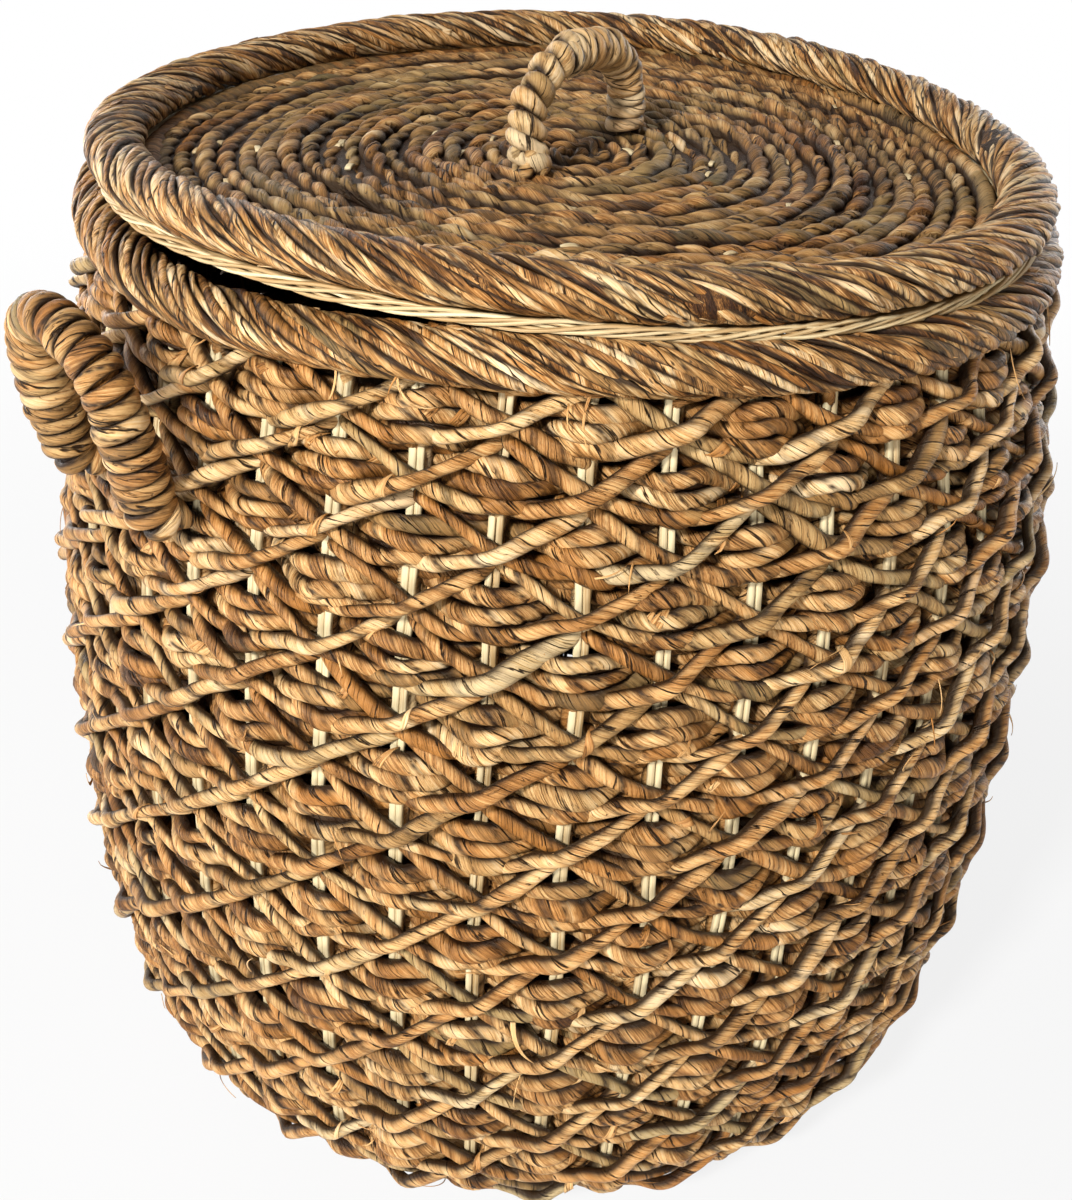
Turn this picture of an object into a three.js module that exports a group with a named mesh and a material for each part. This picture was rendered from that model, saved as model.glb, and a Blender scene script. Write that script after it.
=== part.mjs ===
// A round woven storage basket with a lift-off lid. Millimetres, +Z up, origin at the middle of the
// underside. The side handles stand at -X and +X.
import * as THREE from "three";

// Stakes: flat upright splits, evenly spaced round the wall.
const STAKE_COUNT = 44;
const STAKE_WIDTH = 6.4;
const STAKE_THICKNESS = 3;
const HOOP_HEIGHT = 4;

// The wall's middle surface, from the hoop under the foot to the stake tops.
const STAKE_TOP = 445.7;
const BELLY_RADIUS = 230;
const wallHeightShares = [0.0136, 0.0314, 0.0852, 0.21, 0.5, 0.78, 1];
const wallRadiusShares = [0.765, 0.813, 0.921, 0.983, 1, 0.956, 0.866];

// Rows: each is a bundle of three twisted leaf ropes woven before one stake and behind the next.
const ROW_COUNT = 17;
const ROW_THICKNESS = 6.2;
const FIRST_ROW_DROP = 11.8;
const LAST_ROW_RISE = 17.4;
const rowGrowthShare = 0.0158;
const frontHeightShare = 0.47;
const behindHeightShare = 0.39;

// Base mat.
const BASE_THICKNESS = 9;
const BASE_BEVEL = 2;

// Rim border: the thick rope laid round the top edge, over the middle of the stakes.
const RIM_HEIGHT = 19.5;
const RIM_WIDTH = 24;
const RIM_OFFSET = 0.3;

// Lid: a coiled rope mat in a rope border, over a thin hoop of pale reed.
const BAND_HEIGHT = 3;
const BAND_WIDTH = 16;
const LID_BORDER_HEIGHT = 18;
const LID_BORDER_WIDTH = 24;
const LID_INSET = 7;
const MAT_ROPE_HEIGHT = 9;
const MAT_DROP = 6.5;
const MAT_CENTRE_RADIUS = 7;
const MAT_LOOPS = 20;
const MAT_LOOP_GAP = 0.6;
const LID_TRAVEL = 300;
const LID_TURN_ANGLE = THREE.MathUtils.degToRad(11);

// Side handles: stiff rope arches bound with a winding.
const HANDLE_ROW_INDEX = 3;
const HANDLE_STAKE_COUNT = 2;
const HANDLE_RISE = 76;
const HANDLE_RIM_GAP = 16.3;
const HANDLE_CORE_RADIUS = 6.9;
const HANDLE_FOOT_RADIUS = 11.4;
const HANDLE_WRAP_THICKNESS = 4;
const HANDLE_TURNS = 23;
const handleBendShares = [
  [1, 0, 0],
  [1, 0.3, 0.004],
  [1, 0.72, 0.06],
  [1, 0.94, 0.19],
  [1, 0.97, 0.4],
  [0.985, 0.98, 0.59],
  [0.86, 0.99, 0.79],
  [0.5, 1, 0.945],
  [0, 1, 1],
];
const handleFootShares = [0, 0.03, 0.06, 0.095, 0.12];
const handleWindShares = [0.14, 0.86];

// Lid handle: one arched rope, knotty on its left limb and wound on its right one.
const LID_HANDLE_SPAN = 80;
const LID_HANDLE_RISE = 40;
const LID_ROPE_RADIUS = 5.2;
const LID_KNOT_RADIUS = 8.8;
const LID_KNOT_NECK_RADIUS = 7.4;
const LID_WRAP_THICKNESS = 3;
const LID_HANDLE_TURNS = 13;
const lidBendShares = [
  [1, 0],
  [1, 0.12],
  [1.02, 0.3],
  [0.9, 0.66],
  [0.56, 0.92],
  [0, 1],
];
const lidKnotShares = [0, 0.05, 0.1, 0.15, 0.2, 0.25, 0.3, 0.35, 0.4];
const lidWindShares = [0.44, 0.94];

// Clearances between pieces that touch.
const SEAT_GAP = 0.3;
const WEAVE_GAP = 0.5;
const WRAP_GAP = 0.4;
const LOOP_GAP = 0.8;
const LEAST_LOOP_GAP = 0.4;

// Facets.
const RING_STEPS = 44;
const WIND_STEPS = 8;
const MAT_STEPS = 14;
const CORE_SIDES = 8;
const CORE_STEPS = 12;
const LID_CORE_STEPS = 9;
const octagonShares = [
  [1, 0.45],
  [0.55, 1],
  [-0.55, 1],
  [-1, 0.45],
  [-1, -0.45],
  [-0.55, -1],
  [0.55, -1],
  [1, -0.45],
];

const material = (color, roughness) =>
  new THREE.MeshStandardMaterial({ color, roughness, metalness: 0 });
const stakeMaterial = material("#d9c295", 0.7);
const leafMaterial = material("#a87d4a", 0.8);
const borderMaterial = material("#b08750", 0.8);
const matMaterial = material("#8f7449", 0.85);
const bandMaterial = material("#dccaa2", 0.75);
const handleMaterial = material("#b99058", 0.8);

const basket = new THREE.Group();

// Adds one named piece to the object.
function place(name, geometry, surface, parent = basket) {
  const mesh = new THREE.Mesh(geometry, surface);
  mesh.name = name;
  parent.add(mesh);
  return mesh;
}

// Points and triangles as one closed body, turned so that its faces point out.
function body(points, index) {
  let volume = 0;
  const cross = new THREE.Vector3();
  for (let i = 0; i < index.length; i += 3) {
    cross.crossVectors(points[index[i + 1]], points[index[i + 2]]);
    volume += points[index[i]].dot(cross);
  }
  if (volume < 0) index.reverse();
  const geometry = new THREE.BufferGeometry().setFromPoints(points);
  geometry.setIndex(index);
  geometry.computeVertexNormals();
  return geometry;
}

// Joins cross-sections, each a loop of points, into a ring or into a capped length.
function skin(sections, closed) {
  const sides = sections[0].length;
  const spans = closed ? sections.length : sections.length - 1;
  const index = [];
  for (let i = 0; i < spans; i += 1) {
    const here = i * sides;
    const next = ((i + 1) % sections.length) * sides;
    for (let j = 0; j < sides; j += 1) {
      const k = (j + 1) % sides;
      index.push(here + j, next + j, next + k, here + j, next + k, here + k);
    }
  }
  const last = (sections.length - 1) * sides;
  for (let j = 1; !closed && j < sides - 1; j += 1) {
    index.push(0, j, j + 1, last, last + j + 1, last + j);
  }
  return body(sections.flat(), index);
}

// A ring of one octagonal section about the Z axis.
function octagonRing(outerRadius, width, bottom, height) {
  const centre = outerRadius - width / 2;
  const profile = octagonShares.map(
    ([x, y]) => new THREE.Vector2(centre + (x * width) / 2, bottom + ((y + 1) * height) / 2),
  );
  profile.push(profile[0].clone());
  return new THREE.LatheGeometry(profile, RING_STEPS).rotateX(Math.PI / 2);
}

// The inner edge of such a ring's section at a height above its bottom, within its lower bevel.
function bevelRadius(outerRadius, width, height, above) {
  const rise = (height * (1 - octagonShares[0][1])) / 2;
  const run = (width * (1 - octagonShares[1][0])) / 2;
  return outerRadius - width + run * Math.max(0, 1 - above / rise);
}

// The wall's middle line as a chain of straight lengths, measured down from the stake tops.
const wallPoints = wallHeightShares.map(
  (share, i) => new THREE.Vector2(wallRadiusShares[i] * BELLY_RADIUS, share * STAKE_TOP),
);
const wallLengths = wallPoints.slice(1).map((point, i) => point.distanceTo(wallPoints[i]));
const wallLength = wallLengths.reduce((sum, length) => sum + length, 0);

// The wall's radius, height, upward direction and outward normal at a distance down the wall.
function wallAt(drop) {
  let left = drop;
  let i = wallLengths.length - 1;
  while (i > 0 && left > wallLengths[i]) {
    left -= wallLengths[i];
    i -= 1;
  }
  const up = wallPoints[i + 1].clone().sub(wallPoints[i]).normalize();
  const at = wallPoints[i + 1].clone().addScaledVector(up, -left);
  return { at, up, out: new THREE.Vector2(up.y, -up.x) };
}

// A point of the (radius, height) plane turned to an angle and moved sideways.
function turned(flat, angle, side = 0) {
  const sin = Math.sin(angle);
  const cos = Math.cos(angle);
  return new THREE.Vector3(flat.x * sin + side * cos, side * sin - flat.x * cos, flat.y);
}

// Stake 0 stands at -X.
const stakeAngle = (k) => (2 * Math.PI * k) / STAKE_COUNT - Math.PI / 2;

// The four corners of a stake where it passes one point of the wall.
function stakeCorners(i, k) {
  const below = wallPoints[Math.max(i - 1, 0)];
  const above = wallPoints[Math.min(i + 1, wallPoints.length - 1)];
  const up = above.clone().sub(below).normalize();
  const out = new THREE.Vector2(up.y, -up.x).multiplyScalar(STAKE_THICKNESS / 2);
  const inner = wallPoints[i].clone().sub(out);
  const outer = wallPoints[i].clone().add(out);
  const half = STAKE_WIDTH / 2;
  const angle = stakeAngle(k);
  return [
    turned(inner, angle, -half),
    turned(inner, angle, half),
    turned(outer, angle, half),
    turned(outer, angle, -half),
  ];
}

// All stakes with the hoop that holds their feet, as one body.
function stakeFrame() {
  const points = [];
  const index = [];
  const quad = (a, b, c, d) => index.push(a, b, c, a, c, d);
  const drop = new THREE.Vector3(0, 0, HOOP_HEIGHT);
  for (let k = 0; k < STAKE_COUNT; k += 1) {
    const foot = stakeCorners(0, k);
    points.push(...foot.map((point) => point.clone().sub(drop)));
    for (let i = 0; i < wallPoints.length; i += 1) points.push(...stakeCorners(i, k));
  }
  const perStake = 4 * (wallPoints.length + 1);
  for (let k = 0; k < STAKE_COUNT; k += 1) {
    const low = k * perStake;
    const hoop = low + 4;
    const next = ((k + 1) % STAKE_COUNT) * perStake;
    const top = low + perStake - 4;
    // The hoop under the stake, then the stake's sides and its top end.
    quad(low, low + 1, low + 2, low + 3);
    quad(low + 1, low, hoop, hoop + 1);
    quad(low + 3, low + 2, hoop + 2, hoop + 3);
    for (let level = hoop; level < top; level += 4) {
      for (let j = 0; j < 4; j += 1) {
        const n = (j + 1) % 4;
        quad(level + n, level + j, level + 4 + j, level + 4 + n);
      }
    }
    quad(top + 3, top + 2, top + 1, top);
    // The hoop's length to the next stake: underside, inside, outside and upper side.
    quad(low + 1, next, next + 3, low + 2);
    quad(next, low + 1, hoop + 1, next + 4);
    quad(low + 2, next + 3, next + 7, hoop + 2);
    quad(hoop + 2, next + 7, next + 4, hoop + 1);
  }
  return body(points, index);
}

// Distance of a row's middle down the wall. The rows get further apart towards the foot.
const rowRun = wallLength - FIRST_ROW_DROP - LAST_ROW_RISE;
const rowShare = (j) => j * (1 + rowGrowthShare * j);
const rowUnit = rowRun / rowShare(ROW_COUNT - 1);
const rowDrop = (j) => FIRST_ROW_DROP + rowUnit * rowShare(j);
const rowPitch = (j) => rowUnit * (1 + 2 * rowGrowthShare * j);
const inFront = (j, k) => (j + k) % 2 === 0;

// How far a row swings from the wall's middle line to clear the edges of the stakes.
function rowSwing(radius) {
  const pitch = (2 * Math.PI * radius) / STAKE_COUNT;
  const edge = STAKE_WIDTH / 2;
  const sag = (edge * (pitch - edge)) / (2 * radius);
  const clear = (STAKE_THICKNESS + ROW_THICKNESS) / 2 + WEAVE_GAP + sag;
  return clear / (1 - STAKE_WIDTH / pitch);
}

// One woven row: tall where it bulges before a stake, pinched where it passes behind.
function wovenRow(j) {
  const { at, out } = wallAt(rowDrop(j));
  const swing = rowSwing(at.x);
  const sections = [];
  for (let k = 0; k < STAKE_COUNT; k += 1) {
    const front = inFront(j, k);
    const shift = front ? swing : -swing;
    const half = rowPitch(j) * (front ? frontHeightShare : behindHeightShare);
    const upper = wallAt(rowDrop(j) - half);
    const lower = wallAt(rowDrop(j) + half);
    const corners = [
      upper.at.clone().addScaledVector(upper.out, shift),
      at.clone().addScaledVector(out, shift + ROW_THICKNESS / 2),
      lower.at.clone().addScaledVector(lower.out, shift),
      at.clone().addScaledVector(out, shift - ROW_THICKNESS / 2),
    ];
    sections.push(corners.map((corner) => turned(corner, stakeAngle(k))));
  }
  return skin(sections, true);
}

// A length of rope with a radius of its own at each share of its path.
function coreRope(curve, stations, frames) {
  const sections = stations.map(({ share, radius }) => {
    const middle = curve.getPointAt(share);
    const { normal, binormal } = frames(share);
    return Array.from({ length: CORE_SIDES }, (_, i) => {
      const angle = (2 * Math.PI * i) / CORE_SIDES;
      return middle
        .clone()
        .addScaledVector(normal, Math.cos(angle) * radius)
        .addScaledVector(binormal, Math.sin(angle) * radius);
    });
  });
  return skin(sections, false);
}

// Directions across a flat arch at any share of its path. Its plane's normal is given.
function archFrames(curve, flatNormal) {
  return (share) => {
    const tangent = curve.getTangentAt(share);
    const binormal = new THREE.Vector3().crossVectors(tangent, flatNormal).normalize();
    const normal = new THREE.Vector3().crossVectors(binormal, tangent).normalize();
    return { tangent, normal, binormal };
  };
}

// The least distance between points of a tube that lie half a loop or more apart along it.
function leastGap(sections, stepsPerLoop) {
  const edges = sections.map((section) =>
    section.flatMap((point, i) => {
      const next = section[(i + 1) % section.length];
      return [point, point.clone().lerp(next, 1 / 3), point.clone().lerp(next, 2 / 3)];
    }),
  );
  let least = Infinity;
  for (let i = 0; i < edges.length; i += 1) {
    const end = Math.min(edges.length, i + 2 * stepsPerLoop);
    for (let j = i + Math.ceil(stepsPerLoop / 2); j < end; j += 1) {
      for (const a of edges[i]) for (const b of edges[j]) least = Math.min(least, a.distanceTo(b));
    }
  }
  return least;
}

// Prints a wound tube's least gap to itself beside the gap that it must keep.
function reportGap(name, sections, stepsPerLoop) {
  const gap = leastGap(sections, stepsPerLoop);
  const verdict = gap > LEAST_LOOP_GAP ? "clear" : "too small";
  console.log(`${name}: least gap ${gap.toFixed(2)} mm, ${verdict}`);
}

// The inner radius of a winding's corners, clear of the rope that it goes round.
const windInner = (coreRadius) => (coreRadius + WRAP_GAP) / Math.cos(Math.PI / WIND_STEPS);

// A winding round a rope of a given radius, between two shares of its path. Its width follows the
// room between the loops, which is less on the inside of a bend.
function winding(name, curve, frames, coreRadius, thickness, turns, [from, to]) {
  const middleRadius = windInner(coreRadius) + thickness / 2;
  const steps = turns * WIND_STEPS;
  const stations = Array.from({ length: steps + 1 }, (_, i) => {
    const share = from + ((to - from) * i) / steps;
    const { tangent, normal, binormal } = frames(share);
    const angle = (2 * Math.PI * i) / WIND_STEPS;
    const out = normal.clone().multiplyScalar(Math.cos(angle));
    out.addScaledVector(binormal, Math.sin(angle));
    return { tangent, out, middle: curve.getPointAt(share).addScaledVector(out, middleRadius) };
  });
  const room = (i, step) => {
    const other = stations[i + step];
    return other ? other.middle.distanceTo(stations[i].middle) : Infinity;
  };
  const sections = stations.map(({ tangent, out, middle }, i) => {
    const half = (Math.min(room(i, WIND_STEPS), room(i, -WIND_STEPS)) - LOOP_GAP) / 2;
    return [
      middle.clone().addScaledVector(out, thickness / 2),
      middle.clone().addScaledVector(tangent, half),
      middle.clone().addScaledVector(out, -thickness / 2),
      middle.clone().addScaledVector(tangent, -half),
    ];
  });
  reportGap(name, sections, WIND_STEPS);
  return skin(sections, false);
}

// A curve through points mirrored about the middle of an arch.
function mirroredCurve(half) {
  const other = half
    .slice(0, -1)
    .reverse()
    .map((point) => new THREE.Vector3(-point.x, point.y, point.z));
  return new THREE.CatmullRomCurve3([...half, ...other], false, "centripetal");
}

// One side handle, standing on the bulges of a row at two stakes. It is drawn at -Y and turned.
function sideHandle(name, angle) {
  const { at, out } = wallAt(rowDrop(HANDLE_ROW_INDEX));
  const ridge = at.clone().addScaledVector(out, rowSwing(at.x) + ROW_THICKNESS / 2);
  const halfTurn = (Math.PI * HANDLE_STAKE_COUNT) / STAKE_COUNT;
  const halfSpan = ridge.x * Math.sin(halfTurn);
  const seat = ridge.x * Math.cos(halfTurn);
  const foot = seat + SEAT_GAP;
  const bound = windInner(HANDLE_CORE_RADIUS) + HANDLE_WRAP_THICKNESS;
  const reachOut = rimOuterRadius + HANDLE_RIM_GAP + bound - foot;
  const half = handleBendShares.map(
    ([side, reach, rise]) =>
      new THREE.Vector3(-side * halfSpan, -foot - reach * reachOut, ridge.y + rise * HANDLE_RISE),
  );
  const curve = mirroredCurve(half);
  const steps = RING_STEPS * HANDLE_TURNS;
  const transported = curve.computeFrenetFrames(steps, false);
  const frames = (share) => {
    const i = Math.round(share * steps);
    return {
      tangent: transported.tangents[i],
      normal: transported.normals[i],
      binormal: transported.binormals[i],
    };
  };
  const footShares = [...handleFootShares].slice(0, -1);
  const thin = handleFootShares[handleFootShares.length - 1];
  const stations = footShares.map((share) => ({ share, radius: HANDLE_FOOT_RADIUS }));
  for (let i = 0; i <= CORE_STEPS; i += 1) {
    const share = thin + ((1 - 2 * thin) * i) / CORE_STEPS;
    stations.push({ share, radius: HANDLE_CORE_RADIUS });
  }
  footShares.reverse();
  stations.push(...footShares.map((share) => ({ share: 1 - share, radius: HANDLE_FOOT_RADIUS })));
  const core = coreRope(curve, stations, frames);
  const wrap = winding(
    `${name}_winding`,
    curve,
    frames,
    HANDLE_CORE_RADIUS,
    HANDLE_WRAP_THICKNESS,
    HANDLE_TURNS,
    handleWindShares,
  );
  const holder = new THREE.Group();
  holder.rotation.z = angle;
  basket.add(holder);
  place(`${name}_core`, core, handleMaterial, holder);
  place(`${name}_winding`, wrap, handleMaterial, holder);
}

// The basket's body.
const hoopInner = stakeCorners(0, 0)[0].x;
const baseRadius = Math.abs(hoopInner) - SEAT_GAP;
const baseProfile = [
  new THREE.Vector2(0, 0),
  new THREE.Vector2(baseRadius, 0),
  new THREE.Vector2(baseRadius, BASE_THICKNESS - BASE_BEVEL),
  new THREE.Vector2(baseRadius - BASE_BEVEL, BASE_THICKNESS),
  new THREE.Vector2(0, BASE_THICKNESS),
];
place("base_mat", new THREE.LatheGeometry(baseProfile, RING_STEPS).rotateX(Math.PI / 2), leafMaterial);
place("stake_frame", stakeFrame(), stakeMaterial);
for (let j = 0; j < ROW_COUNT; j += 1) {
  place(`wall_row_${String(j + 1).padStart(2, "0")}`, wovenRow(j), leafMaterial);
}
const stakeEnd = Math.max(...stakeCorners(wallPoints.length - 1, 0).map((corner) => corner.z));
const rimBottom = stakeEnd + SEAT_GAP;
const rimTop = rimBottom + RIM_HEIGHT;
const rimOuterRadius = wallPoints[wallPoints.length - 1].x + RIM_OFFSET + RIM_WIDTH / 2;
place("rim_border", octagonRing(rimOuterRadius, RIM_WIDTH, rimBottom, RIM_HEIGHT), borderMaterial);
sideHandle("left_handle", -Math.PI / 2);
sideHandle("right_handle", Math.PI / 2);

// The lid. It lifts straight off, up to LID_TRAVEL.
const lid = new THREE.Group();
lid.rotation.z = LID_TURN_ANGLE;
basket.add(lid);
const bandBottom = rimTop + SEAT_GAP;
const borderBottom = bandBottom + BAND_HEIGHT + SEAT_GAP;
const lidOuterRadius = rimOuterRadius - LID_INSET;
const borderCentre = lidOuterRadius - LID_BORDER_WIDTH / 2;
const bandOuter = borderCentre + BAND_WIDTH / 2;
const bandProfile = [
  new THREE.Vector2(bandOuter, bandBottom),
  new THREE.Vector2(bandOuter, bandBottom + BAND_HEIGHT),
  new THREE.Vector2(bandOuter - BAND_WIDTH, bandBottom + BAND_HEIGHT),
  new THREE.Vector2(bandOuter - BAND_WIDTH, bandBottom),
  new THREE.Vector2(bandOuter, bandBottom),
];
const bandRing = new THREE.LatheGeometry(bandProfile, RING_STEPS).rotateX(Math.PI / 2);
place("lid_reed_band", bandRing, bandMaterial, lid);
const borderRing = octagonRing(lidOuterRadius, LID_BORDER_WIDTH, borderBottom, LID_BORDER_HEIGHT);
place("lid_border", borderRing, borderMaterial, lid);

// The lid's mat: one rope coiled outwards until its side meets the reed band, a little lower than
// the border.
const matMiddle = borderBottom + MAT_ROPE_HEIGHT / 2 - MAT_DROP;
const matTop = matMiddle + MAT_ROPE_HEIGHT / 2;
const matCorner = bevelRadius(lidOuterRadius, LID_BORDER_WIDTH, LID_BORDER_HEIGHT, matTop - borderBottom);
const matSide = bandOuter - BAND_WIDTH - SEAT_GAP;
const matShare = 1 / (2 * MAT_LOOPS);
const matReach = (matSide + MAT_LOOP_GAP / 2 + MAT_CENTRE_RADIUS * matShare) / (1 + matShare);
const matOuter = Math.min(matCorner * Math.cos(Math.PI / RING_STEPS) - SEAT_GAP, matReach);
const matPitch = (matOuter - MAT_CENTRE_RADIUS) / MAT_LOOPS;
const matHalfWidth = (matPitch - MAT_LOOP_GAP) / 2;
const matSections = [];
for (let i = 0; i <= MAT_LOOPS * MAT_STEPS; i += 1) {
  const angle = (2 * Math.PI * i) / MAT_STEPS;
  const radius = MAT_CENTRE_RADIUS + (matPitch * i) / MAT_STEPS;
  const corners = [
    new THREE.Vector2(radius, matTop),
    new THREE.Vector2(radius + matHalfWidth, matMiddle),
    new THREE.Vector2(radius, matMiddle - MAT_ROPE_HEIGHT / 2),
    new THREE.Vector2(radius - matHalfWidth, matMiddle),
  ];
  matSections.push(corners.map((corner) => turned(corner, angle)));
}
reportGap("lid_mat", matSections, MAT_STEPS);
place("lid_mat", skin(matSections, false), matMaterial, lid);

// The lid's handle, arched over the middle of the mat.
const lidFoot = matTop + SEAT_GAP;
const lidHalf = lidBendShares.map(
  ([side, rise]) =>
    new THREE.Vector3((-side * LID_HANDLE_SPAN) / 2, 0, lidFoot + rise * LID_HANDLE_RISE),
);
const lidCurve = mirroredCurve(lidHalf);
const lidFrames = archFrames(lidCurve, new THREE.Vector3(0, 1, 0));
const lidStations = lidKnotShares.map((share, i) => ({
  share,
  radius: i % 2 === 0 ? LID_KNOT_RADIUS : LID_KNOT_NECK_RADIUS,
}));
const lidThin = lidWindShares[0] - (lidWindShares[0] - lidKnotShares[lidKnotShares.length - 1]) / 2;
for (let i = 0; i <= LID_CORE_STEPS; i += 1) {
  lidStations.push({ share: lidThin + ((1 - lidThin) * i) / LID_CORE_STEPS, radius: LID_ROPE_RADIUS });
}
place("lid_handle_rope", coreRope(lidCurve, lidStations, lidFrames), handleMaterial, lid);
const lidWinding = winding(
  "lid_handle_winding",
  lidCurve,
  lidFrames,
  LID_ROPE_RADIUS,
  LID_WRAP_THICKNESS,
  LID_HANDLE_TURNS,
  lidWindShares,
);
place("lid_handle_winding", lidWinding, handleMaterial, lid);
lid.userData.travel = LID_TRAVEL;

export default basket;
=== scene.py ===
import math

import bpy
import numpy as np
from mathutils import Matrix, Vector


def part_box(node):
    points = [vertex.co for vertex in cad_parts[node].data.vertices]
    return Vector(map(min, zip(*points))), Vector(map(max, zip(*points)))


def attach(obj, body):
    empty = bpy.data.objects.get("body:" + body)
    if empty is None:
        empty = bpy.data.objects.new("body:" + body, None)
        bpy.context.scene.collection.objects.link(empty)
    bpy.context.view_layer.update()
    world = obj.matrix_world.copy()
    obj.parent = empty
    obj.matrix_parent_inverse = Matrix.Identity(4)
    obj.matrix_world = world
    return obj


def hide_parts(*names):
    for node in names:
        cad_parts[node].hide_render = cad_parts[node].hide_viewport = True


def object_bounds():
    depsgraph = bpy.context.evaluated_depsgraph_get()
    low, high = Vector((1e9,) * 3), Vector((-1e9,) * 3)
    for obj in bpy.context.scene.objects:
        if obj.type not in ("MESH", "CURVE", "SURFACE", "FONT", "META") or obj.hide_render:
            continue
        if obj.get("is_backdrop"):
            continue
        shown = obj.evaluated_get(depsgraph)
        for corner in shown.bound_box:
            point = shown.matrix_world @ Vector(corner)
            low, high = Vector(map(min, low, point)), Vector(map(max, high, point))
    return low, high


bl_info = {
    "name": "Woven basket with a lid",
    "version": (1, 0, 0),
    "blender": (4, 5, 0),
    "location": "3D View > Sidebar > Basket",
    "description": "Dresses a round leaf rope basket: its wall, rim, handles and lid",
    "category": "Object",
}

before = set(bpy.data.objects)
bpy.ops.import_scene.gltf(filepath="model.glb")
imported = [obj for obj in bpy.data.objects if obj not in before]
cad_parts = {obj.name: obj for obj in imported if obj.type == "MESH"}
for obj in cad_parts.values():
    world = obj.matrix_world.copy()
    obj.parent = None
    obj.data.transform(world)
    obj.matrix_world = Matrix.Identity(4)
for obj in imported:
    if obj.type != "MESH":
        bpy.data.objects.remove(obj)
cad_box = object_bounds()

# The wall's middle line, as radius and height, from the foot to the stake tops.
wall_line = np.array([
    (0.1760, 0.0061), (0.1870, 0.0140), (0.2118, 0.0380), (0.2261, 0.0936),
    (0.2300, 0.2229), (0.2199, 0.3477), (0.1992, 0.4457),
])
stake_count = 44
stake_step = 2 * math.pi / stake_count
row_count = 17
line_count = stake_count // 2
# How far down the wall the first row runs, the step to the next one, how each step grows, and
# how far down the foot is.
first_drop, drop_step, drop_growth, wall_end = 0.0118, 0.0215, 0.00034, 0.4655

# One strand of a line about the place where it crosses a stake: along the wall in stake steps
# and up it in row steps, and then how far out it is there as a rising and as a falling line.
bends = (
    (-0.93, -0.37), (-0.66, -0.31), (-0.34, -0.17), (0, 0), (0.31, 0.25), (0.62, 0.5),
    (0.92, 0.7), (1.0, 0.9), (1.0, 1.42),
)
rising_out = (0.0005, 0.0046, 0.0066, 0.0102, 0.0072, 0.0046, 0.0005, -0.0042, -0.0042)
falling_out = (0.0005, 0.0044, 0.0046, 0.0044, 0.0046, 0.0044, 0.0005, -0.0042, -0.0042)


def linear(code):
    """An sRGB hex colour as linear red, green, blue."""
    parts = [int(code[i : i + 2], 16) / 255 for i in (1, 3, 5)]
    return tuple(c / 12.92 if c <= 0.04045 else ((c + 0.055) / 1.055) ** 2.4 for c in parts)


def unit(v):
    """Vectors at length one."""
    return v / np.maximum(np.linalg.norm(v, axis=-1, keepdims=True), 1e-12)


def smooth_curve(x, y, at):
    """A smooth curve through points, read at other places."""
    slope = np.gradient(y, x)
    i = np.clip(np.searchsorted(x, at) - 1, 0, len(x) - 2)
    h = x[i + 1] - x[i]
    t = (at - x[i]) / h
    a, b = y[i], y[i + 1]
    return (
        a * (2 * t**3 - 3 * t**2 + 1)
        + h * slope[i] * (t**3 - 2 * t**2 + t)
        + b * (3 * t**2 - 2 * t**3)
        + h * slope[i + 1] * (t**3 - t**2)
    )


def wall_table():
    """The wall's radius, height and outward direction against the distance down it."""
    count, steps_above = 1500, 60
    z = np.linspace(wall_line[0, 1], wall_line[-1, 1], count)
    r = smooth_curve(wall_line[:, 1], wall_line[:, 0], z)
    # The line runs straight on above the stake tops, where ropes end under the rim.
    r = np.append(r, r[-1] + steps_above * (r[-1] - r[-2]))
    z = np.append(z, z[-1] + steps_above * (z[-1] - z[-2]))
    r, z = r[::-1], z[::-1]
    drop = np.append(0, np.cumsum(np.hypot(np.diff(r), np.diff(z))))
    drop -= np.interp(-wall_line[-1, 1], -z, drop)
    dr, dz = np.gradient(r, drop), np.gradient(z, drop)
    return drop, r, z, -dz, dr


wall_drop, wall_r, wall_z, wall_out_r, wall_out_z = wall_table()


def ring(around, r, z):
    """Points or directions round the upright axis, of changing radius and height."""
    return np.stack([r * np.sin(around), -r * np.cos(around), z * np.ones_like(around)], -1)


def off_wall(turn, drop):
    """The wall's outward direction."""
    outward = (np.interp(drop, wall_drop, values) for values in (wall_out_r, wall_out_z))
    return ring(turn, *outward)


def on_wall(turn, drop, out):
    """Points at angles round the wall, distances down it and distances out from it."""
    face = ring(turn, *(np.interp(drop, wall_drop, values) for values in (wall_r, wall_z)))
    return face + np.asarray(out)[..., None] * off_wall(turn, drop)


def row_drop(row):
    """How far down the wall a row runs. Rows get further apart towards the foot."""
    return first_drop + drop_step * row + drop_growth * row * row


def stake_turn(stake):
    """The angle of a stake, which may be a part of a step."""
    return stake * stake_step - math.pi / 2


def full_turn(count=900):
    """Angles evenly round a full turn, without the end that meets the start."""
    return np.linspace(0, 2 * math.pi, count, endpoint=False)


def upward(path):
    """The upright direction at each point of a path."""
    return np.broadcast_to((0.0, 0.0, 1.0), path.shape)


def spoke(angle, n1, n2):
    """Directions turned from the first direction to the second by an angle."""
    return np.cos(angle)[:, None] * n1 + np.sin(angle)[:, None] * n2


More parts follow.
